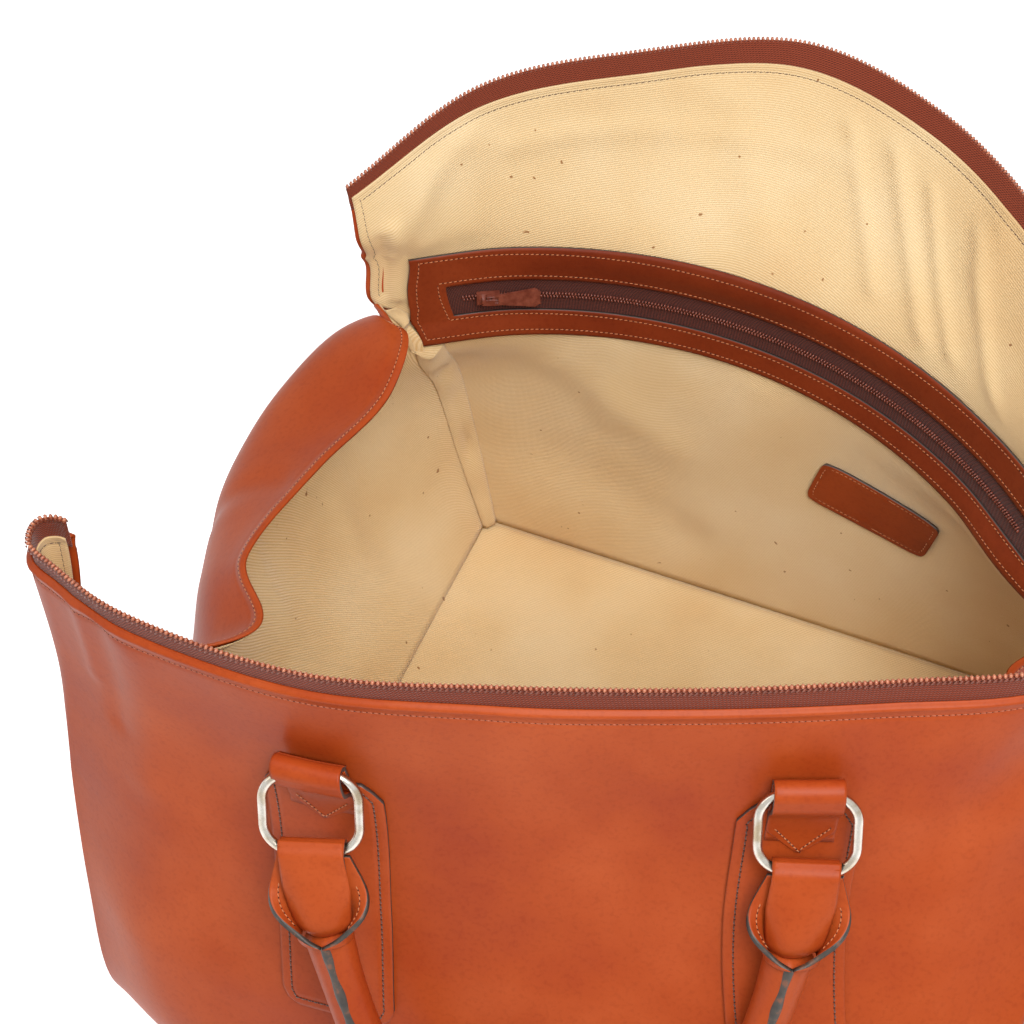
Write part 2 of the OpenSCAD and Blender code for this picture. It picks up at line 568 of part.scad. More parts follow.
// Handle: two pear shaped ends looped on the ring bars and a rolled body between them.
low_bar = ring_h - wire_d;
tab_t = 12;
arm_lean = 15;
module handle(s) {
    o = bar_mid(s) - hang_z(s) * low_bar;
    r = handle_drop - tab_l;
    x0 = bar_half - (tab_l - 8) * sin(arm_lean);
    color(leather) frame_at(o, bar_x(s), hang_y(s), hang_z(s)) {
        for (q = [-1, 1])
            translate([q * bar_half, 0, 0]) {
                rotate([0, 90, 0]) difference() {
                    cylinder(h = strap_w, r = loop_out, center = true);
                    cylinder(h = strap_w + 4, r = loop_in, center = true);
                }
                difference() {
                    rotate([90, 0, 0]) linear_extrude(tab_t, center = true)
                        polygon([for (p = [
                            [-17, -4], [-21, -20], [-24, -38], [-22, -54], [-12, -68], [0, -tab_l],
                            [12, -68], [22, -54], [24, -38], [21, -20], [17, -4]])
                            [p[0] * tab_w / 48 + q * p[1] * 0.12, p[1]]]);
                    rotate([0, 90, 0]) cylinder(h = strap_w + 20, r = loop_in, center = true);
                }
            }
        roll(x0);
    }
}
// Centre line of the rolled body, from one end to the other.
function roll_line(x0) = let (z0 = -(tab_l - 12), z1 = -handle_drop,
    A = [[1, 0], [0.86, 0.35], [0.66, 0.7], [0.36, 0.94]],
    L = concat(
        [for (k = [0 : 3]) [-x0 * A[k][0], mix(z0, z1, A[k][1])]],
        [[0, z1]],
        [for (k = [3 : -1 : 0]) [x0 * A[k][0], mix(z0, z1, A[k][1])]]))
    [for (k = [0 : 32]) spl(L, k / 32)];
module roll(x0) {
    L = roll_line(x0);
    n = len(L);
    m = 16;
    pts = [for (k = [0 : n - 1]) let (
        a = L[max(0, k - 1)], b = L[min(n - 1, k + 1)], d = (b - a) / norm(b - a), nx = -d[1], nz = d[0])
        for (j = [0 : m - 1]) let (c = cos(j * 360 / m) * rope_d / 2, w = sin(j * 360 / m) * rope_d / 2)
            [L[k][0] + nx * c, w, L[k][1] + nz * c]];
    faces = concat(
        [[for (j = [0 : m - 1]) m - 1 - j]],
        [[for (j = [0 : m - 1]) (n - 1) * m + j]],
        [for (k = [0 : n - 2]) for (j = [0 : m - 1]) let (i = (j + 1) % m) each [
            [k * m + j, k * m + i, (k + 1) * m + j], [(k + 1) * m + j, k * m + i, (k + 1) * m + i]]]);
    polyhedron(pts, faces);
}

module front_left_patch() { patch(0, 0); }
module front_right_patch() { patch(0, 1); }
module back_left_patch() { patch(1, 0); }
module back_right_patch() { patch(1, 1); }
module front_left_ring() { ring(0, 0); }
module front_right_ring() { ring(0, 1); }
module back_left_ring() { ring(1, 0); }
module back_right_ring() { ring(1, 1); }
module front_handle() { handle(0); }
module back_handle() { handle(1); }

base_panel();
base_board();
base_lining();
front_panel();
back_panel();
left_gusset();
right_gusset();
front_lining();
back_lining();
left_gusset_lining();
right_gusset_lining();
front_zip_tape();
back_zip_tape();
front_zip_teeth();
back_zip_teeth();
zip_bottom_stop();
zip_slider();
zip_puller();
pocket_frame();
pocket_zip_tape();
pocket_zip_teeth();
pocket_zip_slider();
pocket_zip_puller();
label_patch();
front_left_patch();
front_right_patch();
back_left_patch();
back_right_patch();
front_left_ring();
front_right_ring();
back_left_ring();
back_right_ring();
front_handle();
back_handle();
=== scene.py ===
"""Leather travel bag standing open, rebuilt piece by piece over its CAD frame. Units are metres."""

import bmesh
import bpy
import numpy as np
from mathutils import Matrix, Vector


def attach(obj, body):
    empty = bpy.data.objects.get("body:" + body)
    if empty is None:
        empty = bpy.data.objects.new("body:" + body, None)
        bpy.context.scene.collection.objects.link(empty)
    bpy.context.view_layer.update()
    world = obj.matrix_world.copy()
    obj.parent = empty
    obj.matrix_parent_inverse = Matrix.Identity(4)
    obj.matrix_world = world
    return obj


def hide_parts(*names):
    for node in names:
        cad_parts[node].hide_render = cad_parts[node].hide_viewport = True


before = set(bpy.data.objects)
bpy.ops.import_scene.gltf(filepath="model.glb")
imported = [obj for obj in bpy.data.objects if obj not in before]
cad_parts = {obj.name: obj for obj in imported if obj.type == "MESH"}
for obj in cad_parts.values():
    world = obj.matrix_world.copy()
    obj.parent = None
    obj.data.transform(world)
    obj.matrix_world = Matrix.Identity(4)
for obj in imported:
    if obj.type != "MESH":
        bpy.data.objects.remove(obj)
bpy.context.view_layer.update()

# Camera and light: the bag is seen from the front right and well above, in a white room
# with a broad soft light over it, one from the front and a weaker one from the left.
VIEW_FROM = Vector((0.1908, -0.7131, 1.2014))
VIEW_AT = Vector((-0.109, 0.029, 0.177))
LENS = 83.85

scene = bpy.context.scene
scene.view_settings.view_transform = "Standard"
camera_data = bpy.data.cameras.new("camera")
camera_data.lens = LENS
camera_data.sensor_width = 36
camera = bpy.data.objects.new("camera", camera_data)
camera.location = VIEW_FROM
camera.rotation_euler = (VIEW_AT - VIEW_FROM).to_track_quat("-Z", "Y").to_euler()
scene.collection.objects.link(camera)
scene.camera = camera


def area_light(name, at, towards, size, power, colour):
    data = bpy.data.lights.new(name, "AREA")
    data.shape = "DISK"
    data.size = size
    data.energy = power
    data.color = colour
    lamp = bpy.data.objects.new(name, data)
    lamp.location = at
    lamp.rotation_euler = (Vector(towards) - Vector(at)).to_track_quat("-Z", "Y").to_euler()
    scene.collection.objects.link(lamp)


area_light("over", (0.3, -0.45, 1.9), (0, 0, 0.15), 1.1, 19, (1, 0.99, 0.98))
area_light("left", (-1.5, -0.7, 1.1), (-0.1, 0, 0.2), 1.0, 4, (1, 0.99, 0.98))
area_light("front", (0.6, -0.9, 1.6), (0, 0.05, 0.15), 0.8, 19, (1, 1, 1))
ROOM_LEVEL = 0.26
FLOOR_GLOW = 0.72


def seen_directly(tree, low, high):
    """High for rays that show the backdrop, low for rays that only carry light."""
    rays = tree.nodes.new("ShaderNodeLightPath")
    value = None
    for kind in ("Is Camera Ray", "Is Glossy Ray", "Is Transmission Ray"):
        both = tree.nodes.new("ShaderNodeMath")
        both.operation = "MAXIMUM"
        tree.links.new(rays.outputs[kind], both.inputs[0])
        if value is None:
            both.inputs[1].default_value = 0
        else:
            tree.links.new(value, both.inputs[1])
        value = both.outputs[0]
    level = tree.nodes.new("ShaderNodeMapRange")
    level.inputs["To Min"].default_value = low
    level.inputs["To Max"].default_value = high
    tree.links.new(value, level.inputs["Value"])
    return level.outputs["Result"]


world = bpy.data.worlds.new("room")
world.use_nodes = True
sky = world.node_tree.nodes["Background"]
sky.inputs["Color"].default_value = (1, 1, 1, 1)
world.node_tree.links.new(seen_directly(world.node_tree, ROOM_LEVEL, 1.0), sky.inputs["Strength"])
scene.world = world

# Floor: a white ground under the bag that glows only where it is looked at, so that it
# shows white and keeps the bag's shadow.
floor_mesh = bpy.data.meshes.new("floor")
bm = bmesh.new()
bmesh.ops.create_grid(bm, x_segments=1, y_segments=1, size=4)
bm.to_mesh(floor_mesh)
bm.free()
floor = bpy.data.objects.new("floor", floor_mesh)
scene.collection.objects.link(floor)
floor_paint = bpy.data.materials.new("floor")
floor_paint.use_nodes = True
tree = floor_paint.node_tree
paint = tree.nodes["Principled BSDF"]
paint.inputs["Base Color"].default_value = (0.9, 0.9, 0.9, 1)
paint.inputs["Roughness"].default_value = 0.7
paint.inputs["Emission Color"].default_value = (1, 1, 1, 1)
tree.links.new(seen_directly(tree, 0.0, FLOOR_GLOW), paint.inputs["Emission Strength"])
floor_mesh.materials.append(floor_paint)

# The bag's skin: two panels that end in zip lines, and an end gusset on either side. The rows
# run from the base up, the columns from the front round to the back. All pieces lie on it.
MM = 0.001
LEATHER = 0.0016
LINING = 0.0006
TAPE = 0.0006
FLOOR_Z = 0.0023
TAPE_IN = 0.0019
LINING_IN = 0.00285
LINING_FACE = 0.00345
ZIP_OFF = 0.0022
SEAM_IN = 0.00265
SEAM_FRONT = 0.8
SEAM_BACK = 0.58
SEAM_RIGHT = 0.64
TAIL_Y = 0.0014
WING_OUT = 0.026
POCKET = (-0.040, -0.108, 0.225)
POCKET_R = 0.275
POCKET_LEAN = 0.2


def mm(*rows):
    return np.array(rows, float) * MM


def across_base(x0, x1, y):
    """Foot of a panel: a straight row along the base."""
    return [(x0 + (x1 - x0) * k / 8, y, FLOOR_Z / MM) for k in range(9)]


def cone_row(z):
    """Round the pocket the back panel is part of a cone, and runs on to the right end."""
    r = POCKET_R / MM + (z - POCKET[2] / MM) * POCKET_LEAN
    turn = np.radians(-36.3 + 11.9 * np.arange(8))
    x, y = POCKET[0] / MM, POCKET[1] / MM
    return mm(*[(x + r * np.sin(a), y + r * np.cos(a), z) for a in turn], (214, 96 - z * 0.3, z))


ZIP_LINES = [
    mm((-262, -180, 320), (-205, -199, 325), (-117, -198, 325), (-34, -172, 325), (49, -140, 325),
       (130, -102, 325), (198, -66, 325), (256, -TAIL_Y / MM, 324), (318, -TAIL_Y / MM, 322)),
    mm((-238, 110, 300), (-187, 175, 335), (-113, 223, 345), (-33, 264, 344), (48, 244, 339),
       (118, 190, 335), (182, 108, 331), (256, TAIL_Y / MM, 324), (318, TAIL_Y / MM, 322))]
FRONT = [
    mm(*across_base(-215, 215, -235)),
    mm((-235, -240, 28), (-184, -260, 28), (-120, -264, 28), (-58, -262, 28), (4, -257, 28),
       (62, -252, 28), (118, -247, 28), (170, -242, 28), (221, -236, 28)),
    mm((-248, -222, 90), (-194, -248, 90), (-126, -251, 90), (-62, -245, 90), (4, -236, 90),
       (64, -226, 90), (120, -216, 90), (174, -202, 90), (226, -182, 90)),
    mm((-258, -200, 165), (-198, -222, 165), (-126, -223, 165), (-56, -212, 165), (8, -198, 165),
       (70, -184, 165), (128, -168, 165), (182, -146, 165), (228, -114, 165)),
    mm((-257, -187, 240), (-198, -204, 240), (-120, -203, 240), (-44, -187, 240), (30, -165, 240),
       (96, -144, 240), (152, -120, 240), (196, -92, 240), (232, -60, 240))]
BACK = [
    mm(*across_base(-215, 215, 145)),
    mm((-213, 141, 75), (-160, 148, 75), (-107, 150, 75), (-53, 150, 75), (2, 150, 75),
       (56, 147, 75), (110, 142, 75), (163, 130, 75), (216, 108, 75)),
    mm((-209, 130, 150), (-160, 145, 150), (-105, 152, 150), (-50, 154, 150), (8, 152, 150),
       (62, 145, 150), (115, 131, 150), (165, 106, 150), (216, 66, 150)),
    cone_row(192), cone_row(214), cone_row(236), cone_row(258),
    mm((-222, 106, 276), (-176, 157, 293), (-110, 196, 298), (-38, 222, 298), (36, 208, 296),
       (102, 166, 293), (160, 108, 290), (214, 46, 286), (262, 12, 284))]
LEFT = [
    mm((-215, -171.7, 2.3), (-230, -160, 60), (-232, -146, 130), (-222, -136, 190), (-184, -130, 236)),
    mm((-215, -108.3, 2.3), (-236, -100, 60), (-243, -90, 128), (-238, -84, 192), (-207, -90, 236)),
    mm((-215, -45, 2.3), (-243, -44, 60), (-257, -30, 130), (-253, -20, 195), (-197, -22, 236)),
    mm((-215, 18.3, 2.3), (-240, 16, 60), (-254, 28, 135), (-252, 36, 205), (-180, 36, 236)),
    mm((-215, 81.7, 2.3), (-233, 78, 60), (-242, 80, 135), (-236, 78, 208), (-186, 76, 237))]
RIGHT = [
    mm((215, -171.7, 2.3), (232, -152, 60), (235, -110, 120), (226, -74, 180), (207, -46, 236)),
    mm((215, -108.3, 2.3), (234, -94, 60), (232, -66, 120), (208, -46, 180), (182, -31, 236)),
    mm((215, -45, 2.3), (234, -38, 60), (229, -26, 120), (201, -18, 180), (171, -16, 236)),
    mm((215, 18.3, 2.3), (233, 18, 60), (228, 14, 120), (203, 8, 180), (178, -2, 236)),
    mm((215, 81.7, 2.3), (229, 72, 60), (228, 50, 120), (212, 26, 180), (195, 10, 236))]


def unit(a):
    """Directions of length 1."""
    return a / np.maximum(np.linalg.norm(a, axis=-1, keepdims=True), 1e-12)


def bend(a, b, c, d, f):
    """Smooth way from b to c as f runs from 0 to 1, with a and d on either side."""
    return 0.5 * (2 * b + (c - a) * f + (2 * a - 5 * b + 4 * c - d) * f ** 2
                  + (3 * b - a - 3 * c + d) * f ** 3)


def along(points, t):
    """Smooth curve through points at t from 0 to 1. Points may differ for every t."""
    points = np.asarray(points, float)
    n = len(points) - 1
    p = np.concatenate([2 * points[:1] - points[1:2], points, 2 * points[-1:] - points[-2:-1]])
    k = np.clip((t * n).astype(int), 0, n - 1)
    near = [p[k + j] if points.ndim == 2 else p[k + j, np.arange(len(t))] for j in range(4)]
    return bend(*near, (t * n - k)[:, None])


def zip_line(s, u):
    """Path of the zip along a panel's top, straight over the joined tail at the right."""
    p = ZIP_LINES[s]
    k = np.clip((u * 8).astype(int), 0, 7)
    f = (u * 8 - k)[:, None]
    turn = bend(p[5], p[6], p[7], p[6] + 2 * (p[8] - p[7]), f)
    tail = p[7] + (p[8] - p[7]) * f
    return np.where((k == 7)[:, None], tail, np.where((k == 6)[:, None], turn, along(p, u)))


def zip_out(s, u):
    """Level direction out of the bag along the zip."""
    d = zip_line(s, np.minimum(1, u + 0.004)) - zip_line(s, np.maximum(0, u - 0.004))
    q = 1 if s == 0 else -1
    return unit(np.stack([d[:, 1] * q, -d[:, 0] * q, 0 * u], 1))


def wing(u, v):
    """The back wing reaches further out at its free end, just above the left end seam."""
    t = np.clip((v - 0.42) * 5, 0, 1)
    flare = WING_OUT * t * t * (3 - 2 * t) * np.minimum(1, (1 - v) / 0.24) ** 1.6
    return np.outer(flare * np.maximum(0, 1 - u / 0.1) ** 2, [-0.806, -0.592, 0])


def skin(i, u, v):
    """Place on the skin: 0 front panel, 1 back panel, 2 left gusset, 3 right gusset."""
    if i < 2:
        rows = [along(r, u) for r in (FRONT, BACK)[i]] + [zip_line(i, u) + zip_out(i, u) * ZIP_OFF]
        return along(np.stack(rows), v) + wing(u, v) * (i == 1)
    q = np.full(len(u), float(i - 2))
    columns = [along(c, v) for c in (LEFT, RIGHT)[i - 2]]
    first = at_depth(0, q, SEAM_FRONT * v, SEAM_IN)
    last = at_depth(1, q, (SEAM_BACK, SEAM_RIGHT)[i - 2] * v, SEAM_IN)
    return along(np.stack([first, *columns, last]), u)


def inward(i, u, v, e=0.004):
    """Direction into the bag, square to the skin."""
    du = skin(i, np.minimum(1, u + e), v) - skin(i, np.maximum(0, u - e), v)
    dv = skin(i, u, np.minimum(1, v + e)) - skin(i, u, np.maximum(0, v - e))
    n = np.cross(du, dv) * (-1 if i in (0, 3) else 1)
    n[v == 0, 2] = 0
    return unit(n)


def at_depth(i, u, v, depth):
    """Place at a depth inside the skin. A negative depth stands outside it."""
    return skin(i, u, v) + inward(i, u, v) * np.reshape(depth, (-1, 1))


# Lengths on each skin, so that grain, hems and stitches keep their real size all over it.
TABLE = {}
for i in range(4):
    us, vs = np.linspace(0, 1, 81), np.linspace(0, 1, 121)
    U, V = np.meshgrid(us, vs, indexing="ij")
    P = skin(i, U.ravel(), V.ravel()).reshape(81, 121, 3)
    side = np.cumsum(np.linalg.norm(np.diff(P, axis=0, prepend=P[:1]), axis=2), axis=0)
    up = np.cumsum(np.linalg.norm(np.diff(P, axis=1, prepend=P[:, :1]), axis=2), axis=1)
    TABLE[i] = (side, up)


def look(table, u, v):
    """A length read from its table at u and v."""
    a, b = u * (table.shape[0] - 1), v * (table.shape[1] - 1)
    j, k = np.clip(a.astype(int), 0, table.shape[0] - 2), np.clip(b.astype(int), 0, table.shape[1] - 2)
    a, b = a - j, b - k
    low = table[j, k] * (1 - a) + table[j + 1, k] * a
    high = table[j, k + 1] * (1 - a) + table[j + 1, k + 1] * a
    return low * (1 - b) + high * b


def below(i, u, v, top):
    """Distance down the skin from the line v = top."""
    u = np.maximum(u, 0)
    return look(TABLE[i][1], u, np.full(len(u), top)) - look(TABLE[i][1], u, v)


def v_below(i, u, top, distance):
    """The v that lies a distance below the line v = top."""
    u = np.maximum(u, 0)
    up = TABLE[i][1]
    grid = np.linspace(0, 1, up.shape[1])
    want = look(up, u, np.full(len(u), top)) - distance
    columns = [look(up, np.full(len(grid), x), grid) for x in u]
    return np.array([np.interp(w, c, grid) for w, c in zip(want, columns)])


# Front leather panel: one soft tan hide, turned over a bead along its top edge and stitched.
# Its left end stands free as a wing where the zip is open, and curls in at its tip.
FRONT_TOP = 1 - 0.2 * 11 / 86
BEAD = 0.0011


def object_from(name, bm, materials, smooth=True):
    mesh = bpy.data.meshes.new(name)
    bm.to_mesh(mesh)
    bm.free()
    for m in materials:
        mesh.materials.append(m)
    if smooth:
        mesh.polygons.foreach_set("use_smooth", [True] * len(mesh.polygons))
    piece = bpy.data.objects.new(name, mesh)
    scene.collection.objects.link(piece)
    return piece


def grid_piece(name, columns, rows, place, materials, thick=0.0, outwards=None, rim=0, closed=False,
               body="bag"):
    """Sheet from a grid. place turns grid places into points and cloth coordinates, in metres."""
    bm = bmesh.new()
    bmesh.ops.create_grid(bm, x_segments=columns, y_segments=rows, size=0.5)
    grid = np.array([v.co[:] for v in bm.verts])[:, :2] + 0.5
    points, flat = place(grid[:, 0], grid[:, 1])
    for v, p in zip(bm.verts, points):
        v.co = p
    uv = bm.loops.layers.uv.new("cloth")
    for f in bm.faces:
        for loop in f.loops:
            loop[uv].uv = flat[loop.vert.index]
    if closed:
        bmesh.ops.remove_doubles(bm, verts=bm.verts, dist=1e-6)
        bmesh.ops.recalc_face_normals(bm, faces=bm.faces)
    bm.normal_update()
    if outwards is not None:
        lean = sum(f.normal.dot(Vector(outwards(f.calc_center_median()))) for f in bm.faces)
        if lean < 0:
            bmesh.ops.reverse_faces(bm, faces=bm.faces)
    piece = object_from(name, bm, materials)
    if thick:
        shell = piece.modifiers.new("thickness", "SOLIDIFY")
        shell.thickness = thick
        shell.offset = -1
        shell.material_offset_rim = rim
    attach(piece, body)
    return piece


def shader(name, base, rough, **values):
    m = bpy.data.materials.new(name)
    m.use_nodes = True
    tree = m.node_tree
    b = tree.nodes["Principled BSDF"]
    b.inputs["Base Color"].default_value = (*base, 1)
    b.inputs["Roughness"].default_value = rough
    for key, value in values.items():
        b.inputs[key.replace("_", " ")].default_value = value
    return m, tree, b


def node(tree, kind, inputs=None, **settings):
    n = tree.nodes.new(kind)
    for key, value in settings.items():
        setattr(n, key, value)
    for key, value in (inputs or {}).items():
        if isinstance(value, bpy.types.NodeSocket):
            tree.links.new(value, n.inputs[key])
        else:
            n.inputs[key].default_value = value
    return n


def noise(tree, place, scale, detail, rough=0.5):
    """Cloudy pattern from 0 to 1."""
    inputs = {"Vector": place, "Scale": scale, "Detail": detail, "Roughness": rough}
    return node(tree, "ShaderNodeTexNoise", inputs).outputs["Fac"]


def emboss(tree, b, height, strength, distance):
    """Gives a finish the small relief of a pattern."""
    bump = node(tree, "ShaderNodeBump", {"Height": height, "Strength": strength, "Distance": distance})
    tree.links.new(bump.outputs["Normal"], b.inputs["Normal"])


def ramp(tree, value, *stops):
    """Colours at places from 0 to 1 along a pattern's value."""
    n = node(tree, "ShaderNodeValToRGB", {"Fac": value})
    while len(n.color_ramp.elements) < len(stops):
        n.color_ramp.elements.new(0.5)
    for e, (at, colour) in zip(n.color_ramp.elements, stops):
        e.position = at
        e.color = (*colour, 1) if len(colour) == 3 else colour
    return n.outputs["Color"]


def leather(name, dark, mid, light, rough=0.42):
    """Smooth tanned leather: cloudy colour, fine pores and a soft wax shine."""
    m, tree, b = shader(name, mid, rough, Specular_IOR_Level=0.14, Coat_Weight=0.02, Coat_Roughness=0.3)
    place = node(tree, "ShaderNodeTexCoord").outputs["Object"]
    cloud = noise(tree, place, 14.0, 5.0, 0.55)
    speck = noise(tree, place, 420.0, 3.0)
    colour = ramp(tree, cloud, (0.3, dark), (0.5, mid), (0.72, light))
    spots = ramp(tree, speck, (0.30, (0.90, 0.86, 0.84)), (0.50, (1, 1, 1)))
    mix = node(tree, "ShaderNodeMix", {"Factor": 1.0}, data_type="RGBA", blend_type="MULTIPLY")
    tree.links.new(colour, mix.inputs[6])
    tree.links.new(spots, mix.inputs[7])
    tree.links.new(mix.outputs[2], b.inputs["Base Color"])
    shine = node(tree, "ShaderNodeMapRange", {"Value": cloud, "To Min": rough - 0.07,
                                              "To Max": rough + 0.09})
    tree.links.new(shine.outputs["Result"], b.inputs["Roughness"])
    pores = node(tree, "ShaderNodeTexVoronoi", {"Vector": place, "Scale": 1050.0}, feature="SMOOTH_F1")
    fine = noise(tree, place, 1900.0, 2.0)
    height = node(tree, "ShaderNodeMath", {0: pores.outputs["Distance"], 1: fine}, operation="ADD")
    waves = noise(tree, place, 90.0, 3.0)
    small = node(tree, "ShaderNodeBump", {"Height": height.outputs[0], "Strength": 0.09, "Distance": 0.0004})
    large = node(tree, "ShaderNodeBump", {"Height": waves, "Strength": 0.1, "Distance": 0.002,
                                          "Normal": small.outputs["Normal"]})
    tree.links.new(large.outputs["Normal"], b.inputs["Normal"])
    return m


tan = leather("tan leather", (0.33, 0.043, 0.008), (0.385, 0.059, 0.010), (0.45, 0.080, 0.018))
edge_paint, _, _ = shader("edge paint", (0.05, 0.035, 0.03), 0.45)


def fold(i, u, v, creases):
    """Height of soft creases, each from one place to another with a width and a height."""
    x, y = look(TABLE[i][0], u, v), look(TABLE[i][1], u, v)
    out = np.zeros(len(u))
    for u0, v0, u1, v1, width, height in creases:
        ends = np.array([u0, u1]), np.array([v0, v1])
        (x0, x1), (y0, y1) = look(TABLE[i][0], *ends), look(TABLE[i][1], *ends)
        length = np.hypot(x1 - x0, y1 - y0)
        t = np.clip(((x - x0) * (x1 - x0) + (y - y0) * (y1 - y0)) / length ** 2, 0, 1)
        away = np.hypot(x - x0 - t * (x1 - x0), y - y0 - t * (y1 - y0))
        out += height * np.exp(-(away / width) ** 2)
    return out


def bead_form(parts):
    """Small rounded beads as (centre, half sizes, slant, finish), joined into one form."""
    verts, faces, kinds = [], [], []
    for centre, half, slant, kind in parts:
        bm = bmesh.new()
        bmesh.ops.create_uvsphere(bm, u_segments=6, v_segments=4, radius=1)
        base = len(verts)
        for v in bm.verts:
            p = np.array(v.co[:]) * half
            verts.append((p[0] + slant * p[2] + centre[0], p[1] + centre[1], p[2] + centre[2]))
        faces += [[v.index + base for v in f.verts] for f in bm.faces]
        kinds += [kind] * len(bm.faces)
        bm.free()
    return np.array(verts), faces, kinds


def repeat(name, form, origins, xs, ys, zs, materials, body="bag"):
    """Copies of a small form, each on its own origin and directions, as one mesh."""
    verts, faces, kinds = form
    points = origins[:, None] + sum(verts[None, :, k, None] * d[:, None] for k, d in enumerate((xs, ys, zs)))
    n = len(verts)
    mesh = bpy.data.meshes.new(name)
    mesh.from_pydata(points.reshape(-1, 3).tolist(), [],
                     [[j + n * k for j in f] for k in range(len(origins)) for f in faces])
    for m in materials:
        mesh.materials.append(m)
    mesh.polygons.foreach_set("material_index", kinds * len(origins))
    mesh.polygons.foreach_set("use_smooth", [True] * len(mesh.polygons))
    piece = bpy.data.objects.new(name, mesh)
    scene.collection.objects.link(piece)
    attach(piece, body)
    return piece


def even_places(line, pitch, start=0.0, stop=1.0):
    """Places along a line at an even pitch, with the point and direction at each."""
    t = np.linspace(start, stop, 1500)
    p = line(t)
    run = np.concatenate([[0], np.cumsum(np.linalg.norm(np.diff(p, axis=0), axis=1))])
    at = np.interp(np.arange(pitch / 2, run[-1], pitch), run, t)
    step = 0.3 * (stop - start) / 1500
    return at, line(at), unit(line(np.minimum(stop, at + step)) - line(np.maximum(start, at - step)))


STITCH = 0.0028
# Stitch holes are flat dark discs between the stitches: painted shade standing in for the hollow of each
# hole.
hole_shade, _, _ = shader("stitch holes, painted shade", (0.035, 0.012, 0.006), 0.8)


def thread(name, colour):
    """Waxed thread, with the fine slanting twist of its plies."""
    m, tree, b = shader(name, colour, 0.55, Sheen_Weight=0.3)
    place = node(tree, "ShaderNodeTexCoord").outputs["Object"]
    twist = node(tree, "ShaderNodeTexWave", {"Vector": place, "Scale": 900.0}, bands_direction="DIAGONAL")
    emboss(tree, b, twist.outputs["Fac"], 0.4, 0.0002)
    return m


def stitch_row(name, place, yarn, start=0.0, stop=1.0, body="bag", pitch=STITCH, fine=1.0):
    """Stitches at an even pitch along a line. place gives points and which way each one faces."""
    at, p, d = even_places(lambda t: place(t)[0], pitch, start, stop)
    out = place(at)[1]
    side = unit(np.cross(out, d))
    # The second, flat bead of each stitch is the dark disc of painted shade in its hole.
    form = bead_form([((0, 0, 0.0), (pitch * 0.36, 0.00030 * fine, 0.00026 * fine), 0, 0),
                      ((pitch / 2, 0, 0.00002), (0.00038 * fine, 0.00036 * fine, 0.00012), 0, 1)])
    piece = repeat(name, form, p, unit(d + side * 0.12), side, np.cross(d, side), [yarn, hole_shade], body)
    return piece


orange_yarn = thread("orange thread", (0.55, 0.19, 0.06))
tan_yarn = thread("tan thread", (0.42, 0.11, 0.04))
dark_yarn = thread("dark thread", (0.09, 0.03, 0.015))
SKIN_FOLDS = {
    0: [(0.055, 0.96, 0.052, 0.84, 0.0045, 0.0010), (0.085, 0.95, 0.078, 0.78, 0.007, -0.0012),
        (0.12, 0.93, 0.11, 0.70, 0.012, 0.0012), (0.18, 0.9, 0.2, 0.5, 0.020, -0.0012),
        (0.42, 0.9, 0.45, 0.55, 0.04, 0.0016), (0.75, 0.8, 0.9, 0.5, 0.03, 0.002),
        (0.5, 0.35, 0.8, 0.25, 0.05, 0.002), (0.1, 0.4, 0.2, 0.2, 0.03, 0.0015)],
    1: [(0.3, 0.96, 0.31, 0.90, 0.014, 0.0015), (0.6, 0.95, 0.61, 0.89, 0.014, -0.0015),
        (0.2, 0.14, 0.4, 0.08, 0.02, 0.002)],
    2: [(0.76, 0.96, 0.93, 0.90, 0.028, 0.009), (0.3, 0.8, 0.5, 0.7, 0.03, 0.002),
        (0.47, 0.93, 0.44, 0.72, 0.009, -0.0016), (0.7, 0.5, 0.6, 0.2, 0.03, 0.002)],
    3: [(0.5, 0.8, 0.45, 0.4, 0.02, 0.0015)]}
CURL = mm((0, 0), (7.5, 1.5), (13.2, 5.9), (17.0, 12.0), (17.6, 18.1), (14.8, 22.5), (10.5, 25.5),
          (4.5, 27.0))
CURL_U = -0.08


def wing_end(i, v):
    """Where the sheet ends: only the front wing runs on, past the end of the panel."""
    return CURL_U * (i == 0) * np.ones(len(v))


def curl(i, u, v, q):
    """The free end of the front wing curls inwards, most of all at its top."""
    here = (u < 0) & (i == 0)
    if not here.any():
        return q
    up, t = v[here], u[here] / CURL_U
    w = np.clip((up - 0.60) / 0.37, 0, 1)
    w = (w * w * (3 - 2 * w))[:, None]
    plain = np.stack([0.005 * t * np.minimum(1, 0.1 + w[:, 0] * 4), 0 * t], 1)
    slope = (along(CURL, np.minimum(1, t + 0.01)) - along(CURL, np.maximum(0, t - 0.01))) * w + [[1e-5, 0]]
    flat = plain * (1 - w) + along(CURL, t) * w
    slope = unit(slope + (1 - w) * [[2e-4, 0]])
    at = np.zeros(len(up))
    away = -unit(skin(0, at + 0.004, up) - skin(0, at, up))
    n = inward(0, at, up)
    n = unit(n - away * np.sum(n * away, 1, keepdims=True))
    off = q[here] - skin(0, at, up)
    along_n, along_away = np.sum(off * n, 1, keepdims=True), np.sum(off * away, 1, keepdims=True)
    rest = off - n * along_n - away * along_away
    turned = (away * -slope[:, 1:] + n * slope[:, :1]) * along_n \
        + (away * slope[:, :1] + n * slope[:, 1:]) * along_away
    out = q.copy()
    out[here] = skin(0, at, up) + away * flat[:, :1] + n * flat[:, 1:] + turned + rest
    return out


def soft(i, u, v, depth):
    """Place on the sagging skin, which carries its soft folds with it."""
    on = np.maximum(u, 0)
    rise = fold(i, on, v, SKIN_FOLDS[i]) * (np.clip(np.minimum(on, 1 - on) * 9, 0, 1) if i > 1 else 1)
    return curl(i, u, v, at_depth(i, on, v, depth - rise))


